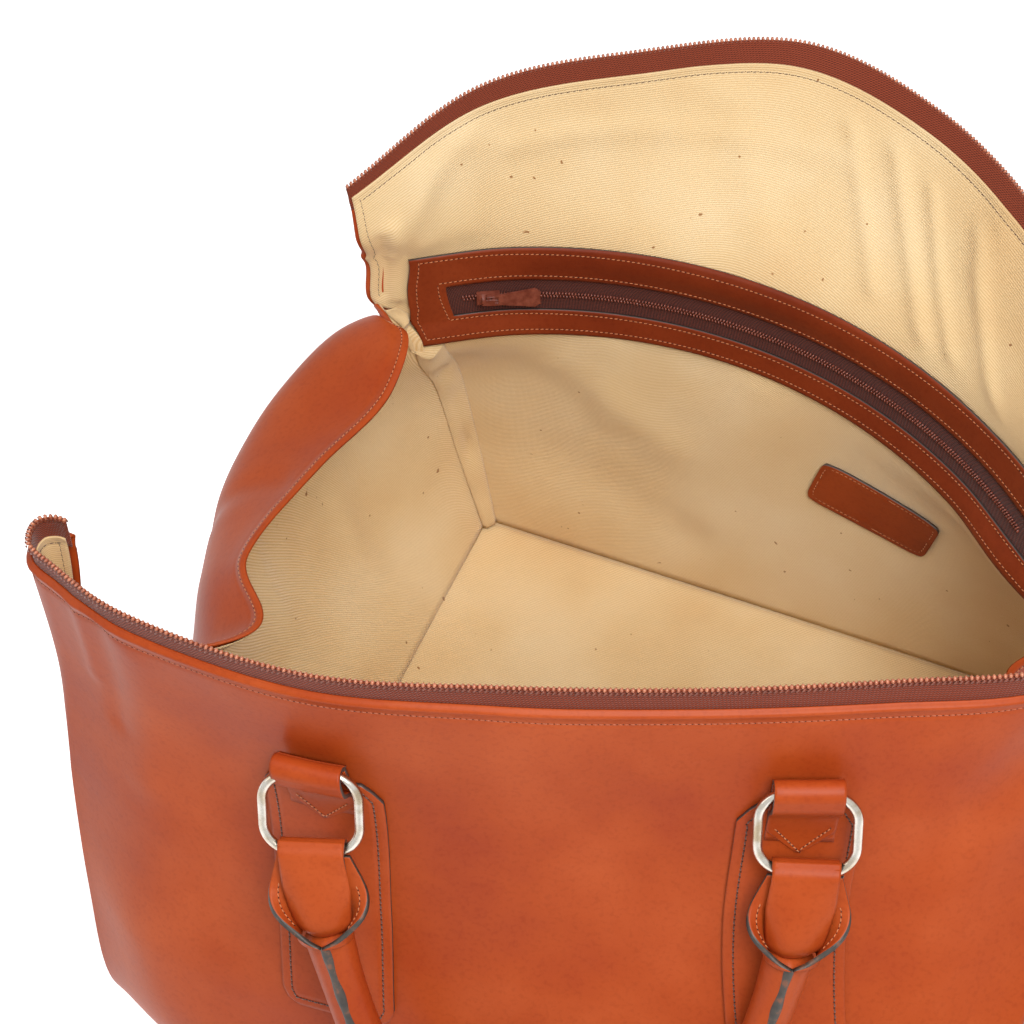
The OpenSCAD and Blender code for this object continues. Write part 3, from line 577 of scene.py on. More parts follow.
def on_line(i, u, up=0.0, out=0.0):
    """A point beside the zip line, carried on round the curled end of the wing."""
    on = np.maximum(u, 0)
    return curl(i, u, np.ones(len(u)), zip_line(i, on) + np.array([0, 0, up]) + zip_out(i, on) * out)


def edge_bead(d):
    """A turned edge rolls over at the top, stands proud and is drawn in by its stitches."""
    return BEAD * np.exp(-((d - 0.0028) / 0.0022) ** 2) - 0.0016 * np.exp(-(d / 0.0012) ** 2) \
        - 0.0004 * np.exp(-((d - 0.0085) / 0.0012) ** 2)


def crowded(b, top):
    """Grid rows from 0 to top that lie closer together near the top."""
    return top * (1 - (1 - b) ** 1.7)


def panel_place(i, top):
    def place(a, b):
        v = crowded(b, top)
        u = a + wing_end(i, v) * (1 - a)
        d = below(i, u, v, top)
        return soft(i, u, v, -edge_bead(d)), np.stack([look(TABLE[i][0], u, v), -d], 1)
    return place


def out_of(i):
    """Level direction out of the bag, seen from a middle that lies inside skin i."""
    centre = {0: (0.02, 0.0), 1: (0.0, 0.0), 2: (0.1, -0.02), 3: (0.0, 0.0)}[i]

    def outwards(p):
        return p.x - centre[0], p.y - centre[1], 0
    return outwards


front_panel = grid_piece("front_leather", 200, 110, panel_place(0, FRONT_TOP), [tan], LEATHER, out_of(0))
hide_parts("front_panel")


def hem_line(i, top, down, proud=0.00012):
    """A line on the outside of a leather edge, a set distance below it."""
    grid = np.linspace(0, 1, 240)
    low = v_below(i, grid, top, down)

    def place(t):
        u = t + wing_end(i, t) * (1 - t)
        v = np.interp(u, grid, low)
        p = soft(i, u, v, np.full(len(t), -proud - edge_bead(np.full(len(t), down))[0]))
        return p, unit(p - soft(i, u, v, np.zeros(len(t))))
    return place


HEM_SEAM = 0.0085
stitch_row("front_hem_stitches", hem_line(0, FRONT_TOP, HEM_SEAM), tan_yarn, 0.004, 0.996)

# Back leather panel: the same hide with the same turned and stitched edge. Its left end stands
# free too and reaches a little further out.
BACK_TOP = 1 - 0.125 * 11 / 58
back_panel = grid_piece("back_leather", 200, 120, panel_place(1, BACK_TOP), [tan], LEATHER, out_of(1))
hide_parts("back_panel")
stitch_row("back_hem_stitches", hem_line(1, BACK_TOP, HEM_SEAM), tan_yarn, 0.004, 0.996)

# End gussets: soft hides sewn between the panels, which bulge outwards at the left, fold inwards
# at the right and roll in at the top to a stitched hem.
GUSSET_SEAM = 0.0036


def gusset_place(i):
    def place(a, b):
        u, v = a, crowded(b, 1.0)
        d = below(i, u, v, 1.0)
        return soft(i, u, v, -edge_bead(d) * 0.5), np.stack([look(TABLE[i][0], u, v), -d], 1)
    return place


def gusset_hem(i):
    """Stitch line just below the rolled edge."""
    grid = np.linspace(0, 1, 240)
    low = v_below(i, grid, 1.0, GUSSET_SEAM)

    def place(t):
        v = np.interp(t, grid, low)
        rise = 0.5 * edge_bead(np.full(len(t), GUSSET_SEAM))[0]
        return soft(i, t, v, np.full(len(t), -0.00015 - rise)), -inward(i, t, v)
    return place


for i, side in ((2, "left"), (3, "right")):
    gusset = grid_piece(side + "_gusset_leather", 110, 90, gusset_place(i), [tan], LEATHER, out_of(i))
    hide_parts(side + "_gusset")
for i, side in ((2, "left"), (3, "right")):
    stitch_row(side + "_gusset_stitches", gusset_hem(i), orange_yarn, 0.01, 0.99)

# Base: a leather bottom with rounded corners, and a stiff fibre board that lies on it and keeps
# the floor of the bag flat.
BASE_Y = -0.045


def plate_place(length, depth, z, corner, crown):
    """Flat sheet with round corners, waved a little where crown is above 0."""
    def place(a, b):
        x, y = (a - 0.5) * 2, (b - 0.5) * 2
        hx, hy = length / 2, depth / 2
        px, py = x * hx, y * hy
        cx, cy = hx - corner, hy - corner
        ox, oy = np.maximum(np.abs(px) - cx, 0), np.maximum(np.abs(py) - cy, 0)
        pull = np.maximum(ox, oy) / np.maximum(np.hypot(ox, oy), 1e-9)
        pull = np.where((ox > 0) & (oy > 0), pull, 1)
        px = np.sign(px) * (np.minimum(np.abs(px), cx) + ox * pull)
        py = np.sign(py) * (np.minimum(np.abs(py), cy) + oy * pull)
        h = z + crown * (1 - x ** 2) * (1 - y ** 2) * (0.6 + 0.4 * np.sin(9 * x + 2 * y))
        return np.stack([px, py + BASE_Y, h], 1), np.stack([px, py], 1)
    return place


base_leather = grid_piece("base_leather", 60, 40, plate_place(0.43, 0.38, 0.0003, 0.012, 0.0), [tan], 0.0016,
                          lambda p: (0, 0, -1))
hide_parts("base_panel")

board, tree, b = shader("fibre board", (0.20, 0.15, 0.10), 0.85)
place = node(tree, "ShaderNodeTexCoord").outputs["Object"]
fibres = noise(tree, place, 300.0, 6.0)
tree.links.new(ramp(tree, fibres, (0.3, (0.13, 0.09, 0.06)), (0.7, (0.28, 0.22, 0.16))),
               b.inputs["Base Color"])
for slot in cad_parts["base_board"].material_slots:
    slot.material = board

# Lining: cream cotton twill, slack over the leather and sewn in under the zip and at the
# corners. At the left end it hangs loose, and it runs out to the edge of either free wing.
def twill(name, dark, mid, light, turn):
    """Cotton with fine raised lines, small dark slubs and a soft cloudy tone."""
    m, tree, b = shader(name, mid, 0.72, Sheen_Weight=0.25, Sheen_Roughness=0.4, Specular_IOR_Level=0.3)
    flat = node(tree, "ShaderNodeUVMap", uv_map="cloth").outputs["UV"]
    place = node(tree, "ShaderNodeTexCoord").outputs["Object"]
    lines = node(tree, "ShaderNodeMapping", {"Vector": flat, "Rotation": (0, 0, turn)})
    lines = lines.outputs["Vector"]
    weft = node(tree, "ShaderNodeTexWave", {"Vector": lines, "Scale": 250.0, "Distortion": 1.2,
                                            "Detail": 2.0, "Detail Scale": 3.0}, bands_direction="Y")
    warp = node(tree, "ShaderNodeTexWave", {"Vector": lines, "Scale": 430.0, "Distortion": 0.8},
                bands_direction="X")
    cloud = noise(tree, place, 9.0, 3.0)
    speck = noise(tree, place, 170.0, 1.0)
    colour = ramp(tree, cloud, (0.30, dark), (0.5, mid), (0.72, light))
    rib = ramp(tree, weft.outputs["Fac"], (0.1, (0.84, 0.76, 0.64)), (0.6, (1, 1, 1)))
    slub = ramp(tree, speck, (0.200, (0.45, 0.3, 0.2)), (0.225, (1, 1, 1)))
    first = node(tree, "ShaderNodeMix", {"Factor": 1.0}, data_type="RGBA", blend_type="MULTIPLY")
    second = node(tree, "ShaderNodeMix", {"Factor": 1.0}, data_type="RGBA", blend_type="MULTIPLY")
    tree.links.new(colour, first.inputs[6])
    tree.links.new(rib, first.inputs[7])
    tree.links.new(first.outputs[2], second.inputs[6])
    tree.links.new(slub, second.inputs[7])
    tree.links.new(second.outputs[2], b.inputs["Base Color"])
    height = node(tree, "ShaderNodeMath", {0: weft.outputs["Fac"], 1: warp.outputs["Fac"], 2: 0.0},
                  operation="MULTIPLY_ADD")
    tree.links.new(weft.outputs["Fac"], height.inputs[2])
    emboss(tree, b, height.outputs[0], 0.45, 0.0003)
    return m


CREAM = (0.70, 0.475, 0.24), (0.77, 0.570, 0.32), (0.83, 0.66, 0.42)
cream = twill("cream twill", *CREAM, 0.0)
cream_slant = twill("cream twill on the ends", *CREAM, 0.9)

SLACK = {
    0: [(0.3, 0.8, 0.33, 0.4, 0.012, 0.002), (0.6, 0.8, 0.62, 0.4, 0.012, 0.002)],
    1: [(0.440, 0.93, 0.535, 0.800, 0.0060, 0.0022), (0.485, 0.93, 0.610, 0.790, 0.0070, 0.0026),
        (0.530, 0.92, 0.650, 0.795, 0.0055, 0.0020), (0.590, 0.92, 0.710, 0.800, 0.0075, 0.0022),
        (0.015, 0.84, 0.010, 0.62, 0.0028, -0.0022), (0.027, 0.86, 0.019, 0.60, 0.0040, 0.0030),
        (0.030, 0.84, 0.110, 0.95, 0.0080, 0.0026), (0.330, 0.93, 0.400, 0.80, 0.0140, 0.0020),
        (0.150, 0.905, 0.440, 0.900, 0.0070, 0.0014), (0.06, 0.93, 0.045, 0.80, 0.0120, 0.0040),
        (0.115, 0.92, 0.085, 0.80, 0.0100, 0.0024), (0.20, 0.30, 0.36, 0.20, 0.016, 0.0030),
        (0.24, 0.40, 0.27, 0.22, 0.012, 0.0022), (0.45, 0.34, 0.43, 0.12, 0.018, 0.0025)],
    2: [(0.500, 0.86, 0.600, 0.12, 0.0060, 0.0022), (0.820, 0.72, 0.760, 0.10, 0.0100, 0.0022),
        (0.700, 0.90, 0.720, 0.50, 0.0120, 0.0020)],
    3: [(0.45, 0.8, 0.5, 0.2, 0.012, 0.002)]}
SEAM_TOP = (SEAM_FRONT, SEAM_BACK)
END_SLACK = 0.042
HEM_V = 0.985


def hang(i, v):
    """The left end's lining hangs loose, further inside towards the floor."""
    return np.outer(END_SLACK * np.maximum(0, 1 - v / HEM_V) ** 1.6 * (i == 2), [1, 0, 0])


def lining_place(i, u0, u1, v0, v1, depth):
    """The cloth runs out to the leather's edge where a wing stands free of the end."""
    def place(a, b):
        v = v0 + (v1 - v0) * (1 - (1 - b) ** 1.4)
        free = np.clip((v - SEAM_TOP[i] + 0.035) / 0.03, 0, 1) if i < 2 else 0
        low = u0 + (0.0022 + wing_end(i, v) * 0.97 - u0) * free
        u = low + (u1 - low) * a
        d = below(i, u, v, v1)
        hem = 0.0006 * np.exp(-((d - 0.0012) / 0.0010) ** 2) - 0.0003 * np.exp(-((d - 0.005) / 0.0008) ** 2)
        loose = fold(i, u, v, SLACK[i]) * (1 - np.exp(-(d / 0.008) ** 2))
        return soft(i, u, v, depth + hem + loose) + hang(i, v), np.stack([look(TABLE[i][0], u, v), -d], 1)
    return place


def into_bag(i):
    """Level direction into the bag from skin i."""
    out = out_of(i)

    def inwards(p):
        return -out(p)[0], -out(p)[1], 0
    return inwards


IN_U = 5 / (2.3 * 215)
WALL_V = (0.005, 0.005, 0.012, 0.012)
HEM_DOWN = 0.004
END_D = 0.0026
for i, name, top, u0, depth, cells, weave in (
        (0, "front_lining", FRONT_TOP - HEM_DOWN, IN_U, LINING_FACE, (180, 90), cream),
        (1, "back_lining", BACK_TOP - HEM_DOWN, IN_U, LINING_FACE, (260, 140), cream),
        (2, "left_gusset_lining", HEM_V, 0.006, END_D, (100, 80), cream_slant),
        (3, "right_gusset_lining", HEM_V, 0.006, END_D, (100, 80), cream_slant)):
    cloth = grid_piece(name + "_cloth", *cells, lining_place(i, u0, 1 - u0, WALL_V[i], top, depth), [weave],
                       LINING, into_bag(i))
    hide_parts(name)

floor_cloth = grid_piece("floor_lining_cloth", 90, 60, plate_place(0.4265, 0.3765, 0.0052, 0.003, 0.0012),
                         [cream], LINING, lambda p: (0, 0, 1))
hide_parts("base_lining")


def lining_hem(i, top, down):
    """Stitch line along the lining's top, which holds it to the zip tape."""
    grid = np.linspace(0, 1, 240)
    low = v_below(i, grid, top, down)

    def place(t):
        u = t + wing_end(i, t) * (1 - t)
        v = np.interp(u, grid, low)
        loose = fold(i, u, v, SLACK[i]) * (1 - np.exp(-(down / 0.008) ** 2))
        p = soft(i, u, v, LINING_FACE + 0.00005 + loose)
        return p, unit(p - soft(i, u, v, np.zeros(len(t))))
    return place


def wing_side(i, inset, v_low, v_high):
    """A line down the free end of a wing, on its lining."""
    def place(t):
        v = v_high + (v_low - v_high) * t
        u = wing_end(i, v) * 0.97 + inset * 0.05 / look(TABLE[i][0], np.full(len(t), 0.05), v)
        loose = fold(i, np.maximum(u, 0), v, SLACK[i])
        p = soft(i, u, v, LINING_FACE + 0.00005 + loose)
        return p, unit(p - soft(i, u, v, np.zeros(len(t))))
    return place


LONG_STITCH = 0.0034
for i, side, top in ((0, "front", FRONT_TOP - HEM_DOWN), (1, "back", BACK_TOP - HEM_DOWN)):
    stitch_row(side + "_lining_stitches", lining_hem(i, top, 0.005), dark_yarn, 0.01, 0.99, pitch=LONG_STITCH,
               fine=0.8)
    stitch_row(side + "_wing_stitches", wing_side(i, 0.006, SEAM_TOP[i] + 0.03, top - 0.012), dark_yarn,
               pitch=LONG_STITCH, fine=0.7)

# Corner bindings: strips of the lining cloth, folded loosely over the four upright seams inside
# and sewn down on either side.
BIND_IN = 0.0085


def frame_left(v):
    """Left end of the pocket's leather frame, which follows the corner seam."""
    return np.interp(v, [0.41, 0.46, 0.50, 0.55, 0.60, 0.74], [0.004, 0.005, 0.010, 0.020, 0.024, 0.026])


def binding_place(i, end):
    """Runs up the seam between panel i and an end, from the floor to the gusset's hem."""
    g = 2 if end == 0 else 3

    def place(a, b):
        v = 0.014 + 0.95 * b
        seam = (SEAM_RIGHT if i == 1 and end == 1 else SEAM_TOP[i]) * v
        sag = hang(g, v)
        reach = BIND_IN + sag[:, 0]
        into_u = reach / (look(TABLE[i][0], np.full(len(v), 0.1), seam) / 0.1)
        corner_u = sag[:, 0] / (look(TABLE[i][0], np.full(len(v), 0.1), seam) / 0.1)
        over_u = BIND_IN / (look(TABLE[g][0], np.full(len(v), 1.0), v))
        if i == 1 and end == 0:
            into_u = np.where(seam > 0.4, np.minimum(into_u, frame_left(seam) - 0.001), into_u)
        u_panel = into_u if end == 0 else 1 - into_u
        u_corner = corner_u if end == 0 else 1 - corner_u
        u_end = over_u if i == 0 else 1 - over_u
        on_panel = soft(i, u_panel, seam, np.full(len(v), LINING_FACE + 0.0001))
        on_end = soft(g, u_end, v, np.full(len(v), END_D + 0.0007)) + sag
        corner = at_depth(i, u_corner, seam, np.full(len(v), LINING_FACE))
        inside = unit((on_panel + on_end) / 2 - corner)
        swell = 0.0052 + 0.0012 * np.sin(b * 19) + 0.0008 * np.sin(b * 43 + 1)
        ridge = corner + inside * swell[:, None] * 1.5
        near_panel = (on_panel * 0.55 + ridge * 0.45) + inside * 0.0009
        near_end = (on_end * 0.55 + ridge * 0.45) + inside * 0.0009
        p = along(np.stack([on_end, near_end, ridge, near_panel, on_panel]), a)
        return p, np.stack([a * 0.02, b * 0.3], 1)
    return place


def to_middle(p):
    """Direction from the seams to the middle of the bag."""
    return Vector((0, BASE_Y, 0.1)) - p


for i, side in ((0, "front"), (1, "back")):
    for end, name in ((0, "left"), (1, "right")):
        strip = grid_piece(side + "_" + name + "_binding", 14, 90, binding_place(i, end), [cream_slant],
                           LINING, to_middle)

# Main zip: a reddish brown woven tape sewn behind each panel's edge, and a coil of moulded
# plastic along its top. The slider, its pull tab and the stop keep their CAD form.
def woven_tape(name, dark, light):
    """Zip tape: a tight herringbone of two reddish browns."""
    m, tree, b = shader(name, light, 0.78, Sheen_Weight=0.25, Sheen_Roughness=0.4, Specular_IOR_Level=0.25)
    flat = node(tree, "ShaderNodeUVMap", uv_map="cloth").outputs["UV"]
    lines = node(tree, "ShaderNodeMapping", {"Vector": flat, "Rotation": (0, 0, 0.9)})
    twist = node(tree, "ShaderNodeTexWave", {"Vector": lines.outputs["Vector"], "Scale": 290.0,
                                             "Distortion": 0.6}, bands_direction="X")
    ribs = node(tree, "ShaderNodeTexWave", {"Vector": flat, "Scale": 330.0, "Distortion": 0.3},
                bands_direction="Y")
    height = node(tree, "ShaderNodeMath", {0: twist.outputs["Fac"], 1: ribs.outputs["Fac"]}, operation="ADD")
    half = node(tree, "ShaderNodeMath", {0: height.outputs[0], 1: 0.5}, operation="MULTIPLY")
    tree.links.new(ramp(tree, half.outputs[0], (0.2, dark), (0.7, light)), b.inputs["Base Color"])
    emboss(tree, b, half.outputs[0], 0.7, 0.0004)
    return m


def moulded(name, dark, light, rough):
    """Moulded zip plastic: a warm sheen that changes a little from bead to bead."""
    m, tree, b = shader(name, light, rough, Specular_IOR_Level=0.55, Coat_Weight=0.2, Coat_Roughness=0.2)
    place = node(tree, "ShaderNodeTexCoord").outputs["Object"]
    cloud = noise(tree, place, 260.0, 3.0)
    tree.links.new(ramp(tree, cloud, (0.35, dark), (0.65, light)), b.inputs["Base Color"])
    fine = noise(tree, place, 2400.0, 2.0)
    emboss(tree, b, fine, 0.15, 0.0002)
    return m


tape_mat = woven_tape("zip tape", (0.09, 0.014, 0.006), (0.25, 0.044, 0.016))
# The coil is one plastic drawn as two copies: a lit copy whose lighter colour is a painted highlight on the
# top beads, and a shaded copy whose darker colour is painted shade on the lower turns.
coil_lit_mat = moulded("zip coil", (0.34, 0.090, 0.040), (0.52, 0.18, 0.090), 0.35)
coil_shaded_mat = moulded("zip coil's lower turns, painted shade", (0.13, 0.028, 0.012), (0.22, 0.052, 0.024), 0.45)


def tape_place(i, top):
    """The tape comes up behind the leather's edge and stands out above it."""
    def place(a, b):
        u = a + wing_end(i, a) * (1 - a)
        foot = soft(i, u, v_below(i, u, top, 0.007), np.full(len(u), TAPE_IN + TAPE))
        edge = soft(i, u, np.full(len(u), top), np.full(len(u), TAPE_IN + TAPE))
        crest = on_line(i, u, 0.0008, -0.0003)
        t = b[:, None]
        p = np.where(t < 0.4, foot + (edge - foot) * t / 0.4, edge + (crest - edge) * (t - 0.4) / 0.6)
        return p, np.stack([look(TABLE[i][0], u, np.ones(len(u))), b * 0.015], 1)
    return place


for i, top, name in ((0, FRONT_TOP, "front"), (1, BACK_TOP, "back")):
    tape = grid_piece(name + "_tape", 220, 10, tape_place(i, top), [tape_mat], TAPE, out_of(i))
    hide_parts(name + "_zip_tape")

ZIP_PITCH = 0.0025
# The top bead takes the painted highlight finish; the two slanted lower turns take the painted shade finish.
coil = bead_form([((0, 0.0001, 0.0010), (0.00098, 0.0014, 0.00115), 0.1, 0),
                  ((0.0002, 0.0012, -0.0006), (0.00075, 0.0005, 0.0014), -0.45, 1),
                  ((0.0002, -0.0012, -0.0006), (0.00075, 0.0005, 0.0014), 0.45, 1)])
for i, name in ((0, "front"), (1, "back")):
    end = wing_end(i, np.zeros(1))[0]
    u, p, d = even_places(lambda t: on_line(i, t + end * (1 - t)), ZIP_PITCH)
    up = np.tile([0.0, 0.0, 1.0], (len(u), 1))
    teeth = repeat(name + "_coil", coil, p, d, unit(np.cross(up, d)), up, [coil_lit_mat, coil_shaded_mat])
    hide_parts(name + "_zip_teeth")

# Handle patches: a long leather patch is sewn on the panel under each ring, and a strap of the
# same leather loops round the ring's bar and is sewn down in a V below it.
FRONT_UV = ((0.257, 0.854), (0.611, 0.875))
BACK_UV = ((0.175, 0.755), (0.575, 0.755))
BAR_R = 0.00235
LOOP_IN = BAR_R + 0.0028
LOOP_OUT = LOOP_IN + 0.0022
STAND = (LOOP_OUT + 0.0024, LOOP_OUT + 0.0074)
LEAN = (27.5, 3)
PATCH_L = 0.16
PATCH_TOP = 0.012
PATCH_T = 0.0022
STRAP_HALF = 0.016


def bar_place(s, e):
    """Middle of a ring's bar, off the front (s 0) or back panel, at its left (e 0) or right."""
    q = (FRONT_UV, BACK_UV)[s][e]
    return at_depth(s, np.array([q[0]]), np.array([q[1]]), -STAND[s])[0]


def handle_frame(s):
    """Middle between two bars, the handle's directions across, out and up, and its half width."""
    a, b = bar_place(s, 0), bar_place(s, 1)
    x = unit(b - a)
    h = unit(np.cross([0, 0, 1], x))
    lean = np.radians(LEAN[s])
    z = np.cross(x, h) * np.cos(lean) + h * np.sin(lean) * (1 if s == 0 else -1)
    half = np.linalg.norm(bar_place(0, 1) - bar_place(0, 0)) / 2
    return (a + b) / 2, x, np.cross(z, x), z, half


def patch_half(d):
    """Half width of a patch at a distance below the bar."""
    return np.interp(d, [PATCH_TOP, 0.016, 0.022, 0.151, 0.157, PATCH_L],
                     [0.020, 0.0245, 0.029, 0.029, 0.0262, 0.021])


def patch_uv(s, e, x, d):
    """Place on a panel across and down from a ring bar, square to the bar."""
    q = (FRONT_UV, BACK_UV)[s][e]
    step = 0.2 / 0.076 if s == 0 else 0.125 / 0.036
    bar = bar_place(s, 1) - bar_place(s, 0)
    u, v = np.array([q[0]] * 2), np.array([q[1] - PATCH_L / 2 * step] * 2)
    h = np.array([-0.02, 0.02])
    rise, run = np.diff(skin(s, u, v + h), axis=0)[0], np.diff(skin(s, u + h, v), axis=0)[0]
    drift = step * np.dot(rise, bar) / np.dot(run, bar)
    u, v = q[0] + drift * d, q[1] - d * step
    per_u = np.linalg.norm(skin(s, u + 0.02, v) - skin(s, u - 0.02, v), axis=1) / 0.04
    return u + x / per_u, v


def patch_place(s, e):
    """The patch is drawn in a little along its stitch line and thins at its edge."""
    def place(a, b):
        d = PATCH_TOP + (PATCH_L - PATCH_TOP) * b
        x = (a * 2 - 1) * patch_half(d)
        u, v = patch_uv(s, e, x, d)
        inside = np.minimum(np.minimum(patch_half(d) - np.abs(x), d - PATCH_TOP), PATCH_L - d)
        lift = 0.0022 + 0.0007 * (1 - np.exp(-(inside / 0.004) ** 2)) \
            - 0.0005 * np.exp(-((inside - 0.005) / 0.001) ** 2)
        return soft(s, u, v, -(0.0004 + lift)), np.stack([x, -d], 1)
    return place


STRAP_R = 0.0062


def strap_place(s, e):
    """From under the patch's top over the bar and down again to the pointed end."""
    top = STAND[s]
    turn = np.radians(np.linspace(-80, 100, 13))
    profile = [(0.0022, 0.030), (0.0024, 0.018)] \
        + [(top + STRAP_R * np.sin(t), -STRAP_R * np.cos(t)) for t in turn] \
        + [(top + STRAP_R * 0.8, 0.007), (max(0.0075, top - 0.003), 0.014), (0.0054, 0.021),
           (0.0048, 0.028), (0.0046, 0.036)]
    profile = np.array([(p[0], p[1], 0) for p in profile])

    def place(a, b):
        p = along(profile, b)
        tip = np.clip((0.0365 - p[:, 1]) / 0.012, 0.05, 1) * (b > 0.5) + (b <= 0.5)
        x = (a * 2 - 1) * STRAP_HALF * tip
        u, v = patch_uv(s, e, x, p[:, 1])
        return soft(s, u, v, -p[:, 0]), np.stack([x, b * 0.08], 1)
    return place


def patch_seam(s, e, inset=0.005):
    """Round the patch, a little inside its edge, from one top corner down and up to the other."""
    def place(t):
        first = PATCH_TOP + 0.004
        total = 2 * (PATCH_L - first) + 0.05
        run = t * total
        side = PATCH_L - first - 0.004
        d = np.where(run > total - side, first + total - run, PATCH_L - 0.0045)
        d = np.where(run < side, first + run, d)
        half = patch_half(d) - inset
        low = (run - total / 2) / (total / 2 - side)
        x = np.where(run < side, -half, np.where(run > total - side, half, half * low))
        u, v = patch_uv(s, e, x, d)
        return soft(s, u, v, np.full(len(t), -0.0029)), -inward(s, u, v)
    return place


def strap_tip_seam(s, e):
    """The pointed end of the strap is sewn down in a V under its fold."""
    def place(t):
        side = np.abs(t * 2 - 1)
        d = 0.0350 - 0.0125 * side
        x = (t * 2 - 1) * 0.0125
        u, v = patch_uv(s, e, x, d)
        rise = np.interp(d, [0.0225, 0.028, 0.036], [0.0054, 0.0050, 0.0048])
        return soft(s, u, v, -rise), -inward(s, u, v)
    return place


for s, side in ((0, "front"), (1, "back")):
    for e, end in ((0, "left"), (1, "right")):
        name = side + "_" + end
        pad = grid_piece(name + "_pad", 44, 90, patch_place(s, e), [tan, edge_paint], PATCH_T, out_of(s),
                         rim=1)
        bar = Vector(bar_place(s, e))
        strap = grid_piece(name + "_strap", 24, 70, strap_place(s, e), [tan, edge_paint], PATCH_T,
                           lambda p: p - bar, rim=1)
        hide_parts(name + "_patch")
        stitch_row(name + "_pad_stitches", patch_seam(s, e), dark_yarn, pitch=0.0032, fine=1.5)
        stitch_row(name + "_strap_stitches", strap_tip_seam(s, e), orange_yarn, pitch=0.0024, fine=1.1)


# Metal parts: the four rings and the main zip's slider, pull tab and stop are bright plated
# metal. They keep their CAD form and take only their finish here.
def plated(name, colour, rough):
    """Nickel plate over brass: bright, with a faint cloudy tarnish and fine rubbing."""
    m, tree, b = shader(name, colour, rough, Metallic=1.0)
    place = node(tree, "ShaderNodeTexCoord").outputs["Object"]
    cloud = noise(tree, place, 120.0, 4.0)
    warm = tuple(c * k for c, k in zip(colour, (0.72, 0.62, 0.48)))
    tree.links.new(ramp(tree, cloud, (0.38, warm), (0.6, colour)), b.inputs["Base Color"])
    shine = node(tree, "ShaderNodeMapRange", {"Value": cloud, "To Min": rough + 0.16, "To Max": rough})
    tree.links.new(shine.outputs["Result"], b.inputs["Roughness"])
    rub = noise(tree, place, 1500.0, 2.0)
    emboss(tree, b, rub, 0.08, 0.0002)
    return m


nickel = plated("nickel", (0.60, 0.56, 0.50), 0.16)
for name in ("front_left_ring", "front_right_ring", "back_left_ring", "back_right_ring", "zip_slider",
             "zip_puller", "zip_bottom_stop"):
    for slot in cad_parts[name].material_slots:
        slot.material = nickel

# Handles: a leather roll with its two painted edges pressed together in a ridge. At either end
# it opens into a flat layer with a tongue on it, and a loop of the tongue goes round the ring.
LOW_BAR = 0.046 - 0.0047
DROP = 0.178
ROLL_R = 0.0113
GRIP_R = 0.0104
SPREAD = 0.10
TONGUE_HALF = 0.0154
TONGUE_T = 0.0018
TAB_T = 0.0024
worn_paint, tree, b = shader("worn edge paint", (0.035, 0.026, 0.021), 0.5)
place = node(tree, "ShaderNodeTexCoord").outputs["Object"]
worn = noise(tree, place, 190.0, 5.0)
tree.links.new(ramp(tree, worn, (0.34, (0.16, 0.055, 0.025)), (0.45, (0.045, 0.034, 0.026)),
                    (0.70, (0.018, 0.015, 0.012))), b.inputs["Base Color"])
emboss(tree, b, worn, 0.5, 0.0006)


def tab_shape(z):
    """Half width of the flat leather, how far it has rolled up and how far back its middle lies."""
    t = np.clip((-z - 0.012) / 0.033, 0, 1)
    t = t * t * (3 - 2 * t)
    wide = np.interp(-z, [0.0, 0.010, 0.020, 0.030, 0.038, 0.0415, 0.045],
                     [0.0165, 0.0200, 0.0235, 0.0262, 0.0275, 0.0300, 0.0355])
    return wide, t / ROLL_R, -ROLL_R * t


def grip_r(near):
    """Radius of the roll, a little thicker near its ends."""
    return GRIP_R + (ROLL_R - 0.0100) * np.exp(-(near / 0.06) ** 2)


